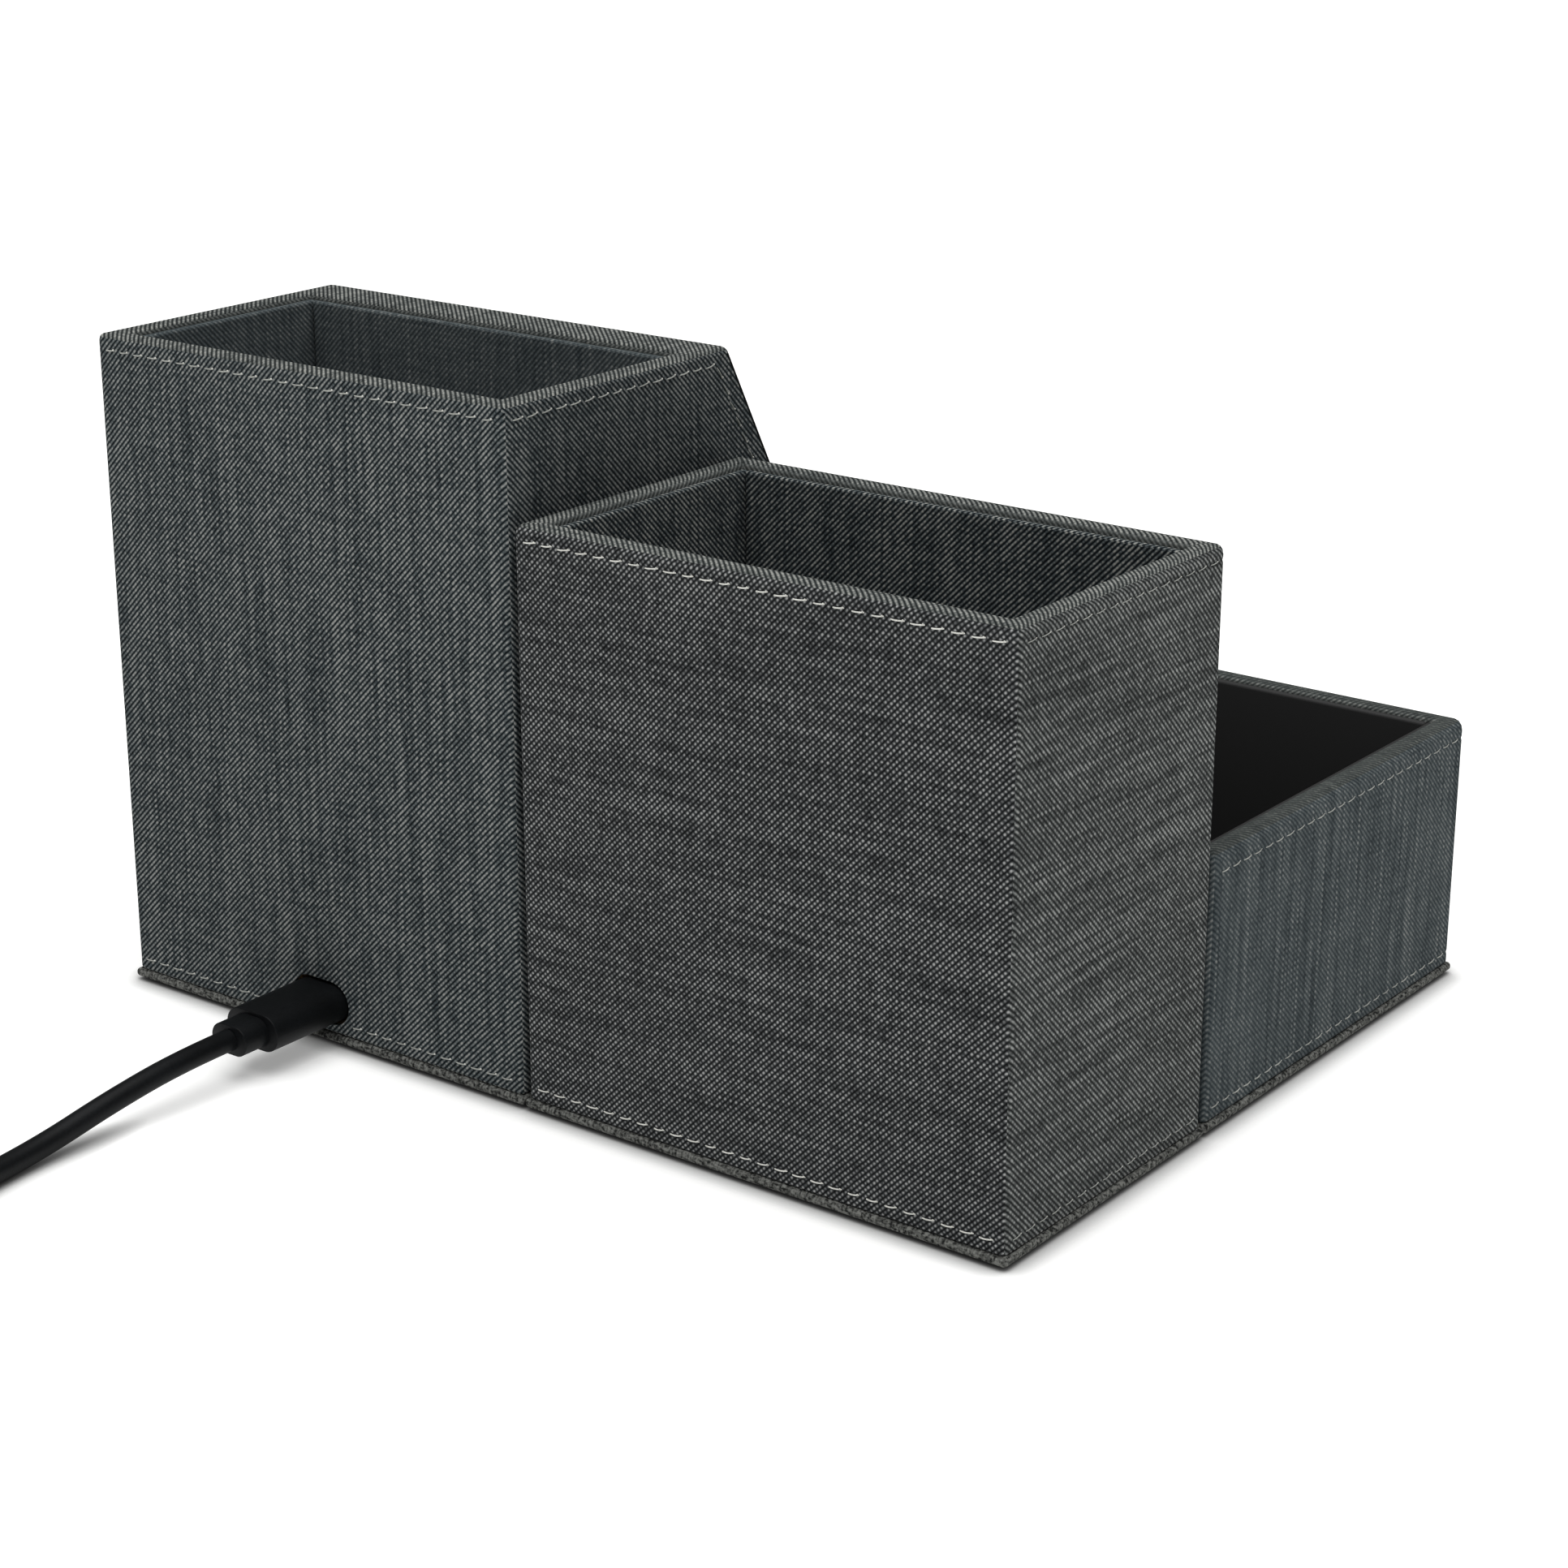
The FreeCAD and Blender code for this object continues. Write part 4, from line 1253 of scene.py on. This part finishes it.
        slot = Plan(mouth.x0, mouth.x1, plan.y0 + w.rim, mouth.y1)
        flanks = slot.planes(Side.RIGHT, Side.LEFT)
        behind, at_lip = slot.planes(Side.BACK, Side.FRONT)
        face_top = (self.face_spot(0.0, w.top) - up_face * self.face_margin, up_face)
        rims = w.groove.planes(Side.RIGHT, Side.LEFT, Side.BACK, Side.FRONT)
        openings = [
            self.cut_out(bm, self.largest(bm, UP, w.top), rims),
            self.cut_out(bm, self.largest(bm, UP, self.lip_top), [*flanks, at_lip]),
            self.cut_out(bm, self.largest(bm, self.face_normal), [*flanks, face_top]),
            self.cut_out(bm, self.largest(bm, -UP), [*flanks, behind, at_lip]),
        ]
        bmesh.ops.delete(bm, geom=openings, context="FACES")
        self.cut_port(bm)
        self.turn_in(bm, w.top, w.tuck_bottom)
        self.turn_in(bm, self.lip_top, self.pad_top)
        look_outwards(bm, self.largest(bm, Side.LEFT.normal), Side.LEFT.normal)
        finishes = [SLATE, PAINTED_TOPLIGHT_FOLD, PAINTED_FILL_TUCK, PAINTED_EDGE_SHADE]
        for face in bm.faces:
            face.material_index = finishes.index(self.finish_of(face))
        self.lay(bm)
        piece = make_piece("tower_wrap", bm, finishes, replaces=("tower_cover",))
        finish_cloth(piece, w.cover)

    def turn_in(self, bm: BMesh, z: float, bottom: float) -> None:
        """Turns the cloth down inside an opening's rim.

        Args:
            bm: the mesh.
            z: the rim's height.
            bottom: how low the cloth goes.
        """
        edges = [e for e in bm.edges if e.is_boundary and all(abs(v.co.z - z) < TOUCH for v in e.verts)]
        made = bmesh.ops.extrude_edge_only(bm, edges=edges)["geom"]
        bmesh.ops.translate(bm, vec=(0.0, 0.0, bottom - z), verts=of_kind(made, BMVert))
        round_edges(bm, edges, self.inner_fold, self.fold_segments)

    def finish_of(self, face: BMFace) -> Finish:
        """The finish of one of the cover's faces.

        Args:
            face: the face.

        Returns:
            Stretched cloth, lightened as painted top light, on the rims; painted shade along the slanted
            edges; and cloth paled as painted fill light inside the mouth.
        """
        normal, middle = face.normal, face.calc_center_median()
        least, most = self.edge_lean
        within = self.walls.plan.inset(self.walls.rim / 2)
        # Rims take the lighter copy of the twill: painted top light
        if abs(normal.z) > ON_RIM:
            return PAINTED_TOPLIGHT_FOLD
        # The slanted edges' fold faces take a black that paints the shade there
        if least < normal.dot(self.face_normal) < most and abs(normal.dot(self.up_face)) < least / 2:
            return PAINTED_EDGE_SHADE
        # Faces inside the mouth take a paler twill: painted fill light in its shade
        if middle.z > self.walls.tuck_bottom and within.holds(middle):
            return PAINTED_FILL_TUCK
        return SLATE

    def lay(self, bm: BMesh) -> None:
        """Lays the twill on the tower: upright on the walls and on up over the rims and the slant."""
        layer = bm.loops.layers.uv.new(CLOTH_UV)
        up_face, plan = self.up_face, self.walls.plan
        rim_lay = self.lays[Side.BACK].mirrored
        for face in bm.faces:
            normal = face.normal
            side = max(Side, key=lambda s: s.normal.dot(normal))
            for loop in face.loops:
                co = loop.vert.co
                if abs(normal.z) > ON_RIM:
                    loop[layer].uv = rim_lay.uv(-co.x, self.walls.top + plan.y1 - co.y)
                elif side == Side.FRONT and normal.z > ON_SLANT:
                    loop[layer].uv = self.lays[side].uv(co.x, co.dot(up_face))
                else:
                    loop[layer].uv = self.lays[side].uv(co.dot(side.right), co.z)

    def face_panel(self) -> None:
        """The wrapped panel of the charging face, set between the rims."""
        mouth = self.walls.mouth
        up_face, normal = self.up_face, self.face_normal
        foot = self.face_spot(mouth.middle.x, self.pad_top)
        head = self.face_spot(mouth.middle.x, self.walls.top) - up_face * self.face_margin
        basis = Matrix((ACROSS, up_face, normal)).transposed().to_4x4()
        centre = (foot + head) / 2 + normal * (self.panel_proud - self.walls.cover)
        bm = bmesh.new()
        face = rectangle(bm, mouth.x1 - mouth.x0, (head - foot).length, Matrix.Translation(centre) @ basis,
                         self.panel_radius, self.panel_corner_segments)
        extrude_face(bm, face, normal * self.walls.cover)
        leans = {e: [f.normal.dot(normal) for f in e.link_faces] for e in bm.edges}
        round_edges(bm, [e for e in bm.edges if min(leans[e]) > -ROUGHLY and max(leans[e]) > ROUGHLY],
                    self.panel_radius, self.panel_edge_segments)
        layer = bm.loops.layers.uv.new(CLOTH_UV)
        for loop in (loop for f in bm.faces for loop in f.loops):
            loop[layer].uv = self.lays[Side.FRONT].uv(loop.vert.co.x, loop.vert.co.dot(up_face))
        make_piece("charge_face_panel", bm, [SLATE], replaces=("charge_face_cover",))

    def ledge_pad(self) -> None:
        """The flocked pad on the phone slot's ledge."""
        low, high = corners("ledge_pad")
        bm = block(low, high)
        top = [e for e in bm.edges if all(v.co.z > high.z - MM / 2 for v in e.verts)]
        round_edges(bm, top, self.panel_radius, self.panel_edge_segments)
        lay_by_normal(bm, self.lays)
        make_piece("ledge_flock_pad", bm, [BLACK_FLOCK], replaces=("ledge_pad",))

    def seams(self) -> list[Seam]:
        """Seams along the rims, the foot, the slanted edges and the charging face."""
        w, margin = self.walls, self.seam_margin
        plan = w.plan
        foot_z, rim_z = w.bottom + self.seam_above_foot, w.top - self.seam_inset
        lip_z = self.lip_top - self.seam_inset
        rows = []
        for side, high_z in ((Side.BACK, rim_z), (Side.FRONT, lip_z)):
            start, end = plan.side_ends(side, margin)
            half = (end - start).length / 2
            port = (half - self.port_seam_gap, half + self.port_seam_gap)
            rows.append(Seam(start + UP * high_z, end + UP * high_z, side.normal))
            rows.append(Seam(start + UP * foot_z, end + UP * foot_z, side.normal,
                             port if side == Side.BACK else (0.0, 0.0)))
        slope_inset = self.slant_seam_inset / abs(self.face_normal.y)
        path = [
            (plan.y1 - margin, rim_z),
            (self.face_y(rim_z) + slope_inset, rim_z),
            (self.face_y(lip_z) + slope_inset, lip_z),
            (plan.y0 + margin, lip_z),
        ]
        foot = [(plan.y1 - margin, foot_z), (plan.y0 + margin, foot_z)]
        for side, x in ((Side.LEFT, plan.x0), (Side.RIGHT, plan.x1)):
            for line in (path, foot):
                points = [Vector((x, y, z)) for y, z in line]
                if side == Side.RIGHT:
                    points.reverse()
                rows += [Seam(a, b, side.normal) for a, b in zip(points, points[1:])]
        return rows + self.face_seams()

    def face_seams(self) -> list[Seam]:
        """The seam round the charging face."""
        mouth, inset = self.walls.mouth.inset(self.seam_inset), self.seam_inset
        up_face, lift = self.up_face, self.face_normal * self.panel_proud
        foot = self.face_spot(0.0, self.pad_top) + up_face * inset + lift
        head = self.face_spot(0.0, self.walls.top) - up_face * (inset + self.face_margin) + lift
        turns = (mouth.x0, foot), (mouth.x1, foot), (mouth.x1, head), (mouth.x0, head)
        points = [Vector((x, spot.y, spot.z)) for x, spot in turns]
        return [Seam(a, b, self.face_normal) for a, b in zip(points, points[1:] + points[:1])]


@dataclass
class ChargingCable:
    """The cable: the plug in the port, the free stretch, the put-away coil, its tie and the far plug."""

    diameter: float = 3.8 * MM
    length: float = 1.0
    route_mm: tuple[tuple[float, float, float], ...] = (
        (46.5, 92.2, 7.5),
        (46.5, 103.2, 7.5),
        (47.4, 117.5, 5.3),
        (48.4, 129.0, 2.6),
        (47.7, 141.0, 1.95),
        (45.6, 153.5, 2.85),
        (45.6, 165.5, 2.85),
    )
    turn_radius_mm: float = 28.5
    turn_pitch_mm: float = 4.4
    half_turns_in: int = 6
    last_radius_mm: float = 33.1
    far_height_mm: float = 4.3
    points_per_half_turn: int = 8
    round_resolution: int = 5
    length_resolution: int = 6
    overmold_radius: float = 0.6 * MM
    collar_radius: float = 0.7 * MM
    bar_segments: int = 12
    bar_end_segments: int = 4
    tie_thickness: float = 0.8 * MM
    tie_radius: float = 2.0 * MM
    tie_segments: int = 5

    def build(self) -> None:
        """Makes the plug, the tie and the cord."""
        plug = [
            self.bar("usb_c_overmold", "plug_body", self.overmold_radius),
            self.bar("usb_c_collar", "plug_collar", self.collar_radius),
        ]
        tie = self.tie()
        curve = bpy.data.curves.new("charging_cord", "CURVE")
        curve.dimensions = "3D"
        curve.bevel_depth = self.diameter / 2
        curve.bevel_resolution = self.round_resolution
        curve.resolution_u = self.length_resolution
        spline = curve.splines.new("NURBS")
        points = self.control_points()
        spline.points.add(len(points) - 1)
        for spot, point in zip(spline.points, points):
            spot.co = (*(point * MM), 1.0)
        spline.order_u = 3
        spline.use_endpoint_u = True
        curve.materials.append(JACKET.material())
        cord = bpy.data.objects.new("charging_cord", curve)
        bpy.context.scene.collection.objects.link(cord)
        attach(cord, Body.CABLE.value)
        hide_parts("cable_lead", "cable_coil")
        log.info("charging_cord: %d control points", len(points))

    def control_points(self) -> list[Vector]:
        """The route's points and then the coil's turns, in millimetres.

        The turns spiral in on the desk, climb a layer in the half turn where they reverse, spiral
        out on top and come down to the far plug.

        Returns:
            The spline's control points.
        """
        points = [Vector(p) for p in self.route_mm]
        start = points[-1]
        straight = Vector((0.0, self.diameter / MM, 0.0))
        radii_in = [self.turn_radius_mm - k * self.turn_pitch_mm / 2 for k in range(self.half_turns_in)]
        innermost = self.turn_radius_mm - self.half_turns_in * self.turn_pitch_mm / 2
        radii = radii_in + [innermost] + radii_in[:0:-1] + [self.last_radius_mm]
        climbs = [0.0] * len(radii)
        climbs[self.half_turns_in] = self.turn_pitch_mm
        climbs[-1] = self.far_height_mm - start.z - self.turn_pitch_mm
        step = math.pi / self.points_per_half_turn
        # The spline runs inside its control points, so they stand a little further out
        swell = 1 / (0.75 + 0.25 * math.cos(step))
        spot = start + straight
        for k, (radius, climb) in enumerate(zip(radii, climbs)):
            side = 1 if k % 2 == 0 else -1
            centre = spot + ACROSS * (radius * side)
            for i in range(self.points_per_half_turn):
                angle = (i + 0.5) * step
                share = (i + 0.5) / self.points_per_half_turn
                out = Vector((-math.cos(angle), math.sin(angle), 0.0)) * (radius * swell * side)
                points.append(centre + out + UP * (climb * share))
            spot = spot + Vector((2 * radius * side, 0.0, climb))
        return points + [spot - straight]

    def bar(self, node: str, name: str, radius: float) -> Object:
        """A moulded bar with an oblong section, rounded at its outer end.

        Args:
            node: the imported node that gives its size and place.
            name: the piece's name.
            radius: the rounding at the end.

        Returns:
            The piece.
        """
        low, high = corners(node)
        size, middle = high - low, (low + high) / 2
        bm = bmesh.new()
        place = Matrix.Translation((middle.x, low.y, middle.z)) @ UPRIGHT
        face = rectangle(bm, size.x, size.z, place, OBLONG_SHARE * size.z, self.bar_segments)
        end = extrude_face(bm, face, Vector((0.0, size.y, 0.0)))
        rim = [e for e in bm.edges if all(v in end for v in e.verts)]
        round_edges(bm, rim, radius, self.bar_end_segments)
        return make_piece(name, bm, [PLUG_BODY], Body.CABLE, (node,))

    def tie(self) -> Object:
        """The strap round the coil, as a rounded loop.

        Returns:
            The piece.
        """
        low, high = corners("cable_tie")
        size, middle = high - low, (low + high) / 2
        bm = bmesh.new()
        place = (Matrix.Translation((low.x, middle.y, middle.z)) @ Matrix.Rotation(math.pi / 2, 4, "Z")
                 @ UPRIGHT)
        base = rectangle(bm, size.y, size.z, place, self.tie_radius, self.tie_segments)
        edges = list(base.edges)
        bmesh.ops.delete(bm, geom=[base], context="FACES_ONLY")
        made = bmesh.ops.extrude_edge_only(bm, edges=edges)["geom"]
        bmesh.ops.translate(bm, vec=(size.x, 0.0, 0.0), verts=of_kind(made, BMVert))
        top = max(bm.faces, key=lambda f: f.calc_center_median().z)
        look_outwards(bm, top, UP)
        piece = make_piece("tie_strap_loop", bm, [STRAP], Body.CABLE, ("cable_tie",))
        finish_cloth(piece, self.tie_thickness)
        return piece


@dataclass
class HiddenParts:
    """Boards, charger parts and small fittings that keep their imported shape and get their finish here."""

    finishes: dict[str, Finish] = field(default_factory=lambda: {
        "base_fabric": BASE_CLOTH,
        "fibreboard": FIBREBOARD,
        "plug_plastic": PLUG_BODY,
        "cable_jacket": JACKET,
        "plug_steel": NICKEL,
        "ferrite": FERRITE,
        "circuit_board": SolderMask("green_solder_mask"),
        "black_component": CHIP,
        "white_plastic": CARRIER,
        "foot_rubber": FOOT,
        "foam_tape": FOAM,
    })

    def build(self) -> None:
        """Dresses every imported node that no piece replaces."""
        low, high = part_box("charging_coil")
        centre = tuple((a + b) / 2 for a, b in zip(low, high))
        finishes = dict(self.finishes, copper_winding=Winding("wound_copper_wire", centre))
        for subpart in frame["record"]["subparts"]:
            node = frame["nodes"][subpart["node"]]
            if node.hide_render:
                continue
            finish = finishes[subpart["material_slot"]]
            for slot in node.material_slots:
                slot.material = finish.material()
            log.info("%s: %s", node.name, finish.name)


@dataclass
class Studio:
    """Pale floor, soft white light and the camera at the photograph's place."""

    eye: tuple[float, float, float] = (-0.32658, 0.43410, 0.22606)
    target: tuple[float, float, float] = (-0.00586, 0.0110, 0.04028)
    lens_mm: float = 76.1
    sensor_mm: float = 36.0
    nearest: float = 0.01
    floor_size: float = 40.0
    sky: float = 0.12
    panel_place: tuple[float, float, float] = (-0.2, 0.3, 3.0)
    panel_size: float = 3.4
    panel_power: float = 130.0

    def build(self) -> None:
        """Sets up the floor, the light and the camera."""
        scene = bpy.context.scene
        scene.view_settings.view_transform = "Standard"
        self.floor()
        world = bpy.data.worlds.new("white_room")
        world.use_nodes = True
        background = next(n for n in world.node_tree.nodes if n.type == "BACKGROUND")
        background.inputs["Color"].default_value = (1.0, 1.0, 1.0, 1.0)
        background.inputs["Strength"].default_value = self.sky
        scene.world = world
        panel = bpy.data.lights.new("ceiling_panel", "AREA")
        panel.size = self.panel_size
        panel.energy = self.panel_power
        self.aim("ceiling_panel", panel, self.panel_place)
        camera = bpy.data.cameras.new("photo_camera")
        camera.sensor_width = self.sensor_mm
        camera.lens = self.lens_mm
        camera.clip_start = self.nearest
        scene.camera = self.aim("photo_camera", camera, self.eye)

    def floor(self) -> None:
        """A wide pale floor."""
        bm = bmesh.new()
        bmesh.ops.create_grid(bm, x_segments=1, y_segments=1, size=self.floor_size / 2)
        mesh = bpy.data.meshes.new("studio_floor")
        bm.to_mesh(mesh)
        bm.free()
        mesh.materials.append(LitPaper("white_paper").material())
        floor = bpy.data.objects.new("studio_floor", mesh)
        bpy.context.scene.collection.objects.link(floor)

    def aim(self, name: str, data: bpy.types.ID, place: tuple[float, float, float]) -> Object:
        """Puts a light or a camera in its place, turned to the target.

        Args:
            name: the object's name.
            data: the light or camera.
            place: where it stands.

        Returns:
            The object.
        """
        thing = bpy.data.objects.new(name, data)
        thing.location = place
        way = Vector(self.target) - Vector(place)
        thing.rotation_euler = way.to_track_quat("-Z", "Y").to_euler()
        bpy.context.scene.collection.objects.link(thing)
        return thing


def in_pairs(ends: Lay | Finish, flanks: Lay | Finish) -> dict:
    """One thing for the back and the front, and another for the left and the right."""
    return {Side.BACK: ends, Side.FRONT: ends, Side.LEFT: flanks, Side.RIGHT: flanks}


def main() -> None:
    """Builds every sub-assembly in order."""
    logging.basicConfig(level=logging.INFO, format="%(name)s %(message)s")
    upright = in_pairs(Lay.UPRIGHT_RISING, Lay.UPRIGHT_FALLING)
    level = in_pairs(Lay.LEVEL_RISING, Lay.LEVEL_FALLING)
    Studio().build()
    ChargingCable().build()
    WrappedBox("pen_box", level, in_pairs(SLATE_BEADED, SLATE_SLUBBED), PAINTED_TOPLIGHT_FOLD, SLATE_LINING,
               "slate_lining", upright, lining_rise=0.6 * MM, rim_fold=1.6 * MM, seam_below_rim=2.5 * MM,
               seed=3, bold_sides=(Side.BACK, Side.FRONT), plain_girth=0.6).build()
    WrappedBox("tray", upright, in_pairs(SLATE_SOFT, SLATE_SOFT), PAINTED_TOPLIGHT_TRAY_RIM, BLACK_FLOCK,
               "black_flock", upright, lining_rise=0.8 * MM, rim_fold=2.2 * MM, seam_below_rim=3.6 * MM,
               seed=5, rim_turned=False,
               stitching=Stitching(thread=0.2 * MM, proud=0.03 * MM, knot=0.08 * MM)).build()
    ChargingTower(upright, upright).build()
    HiddenParts().build()


if __name__ == "__main__":
    main()
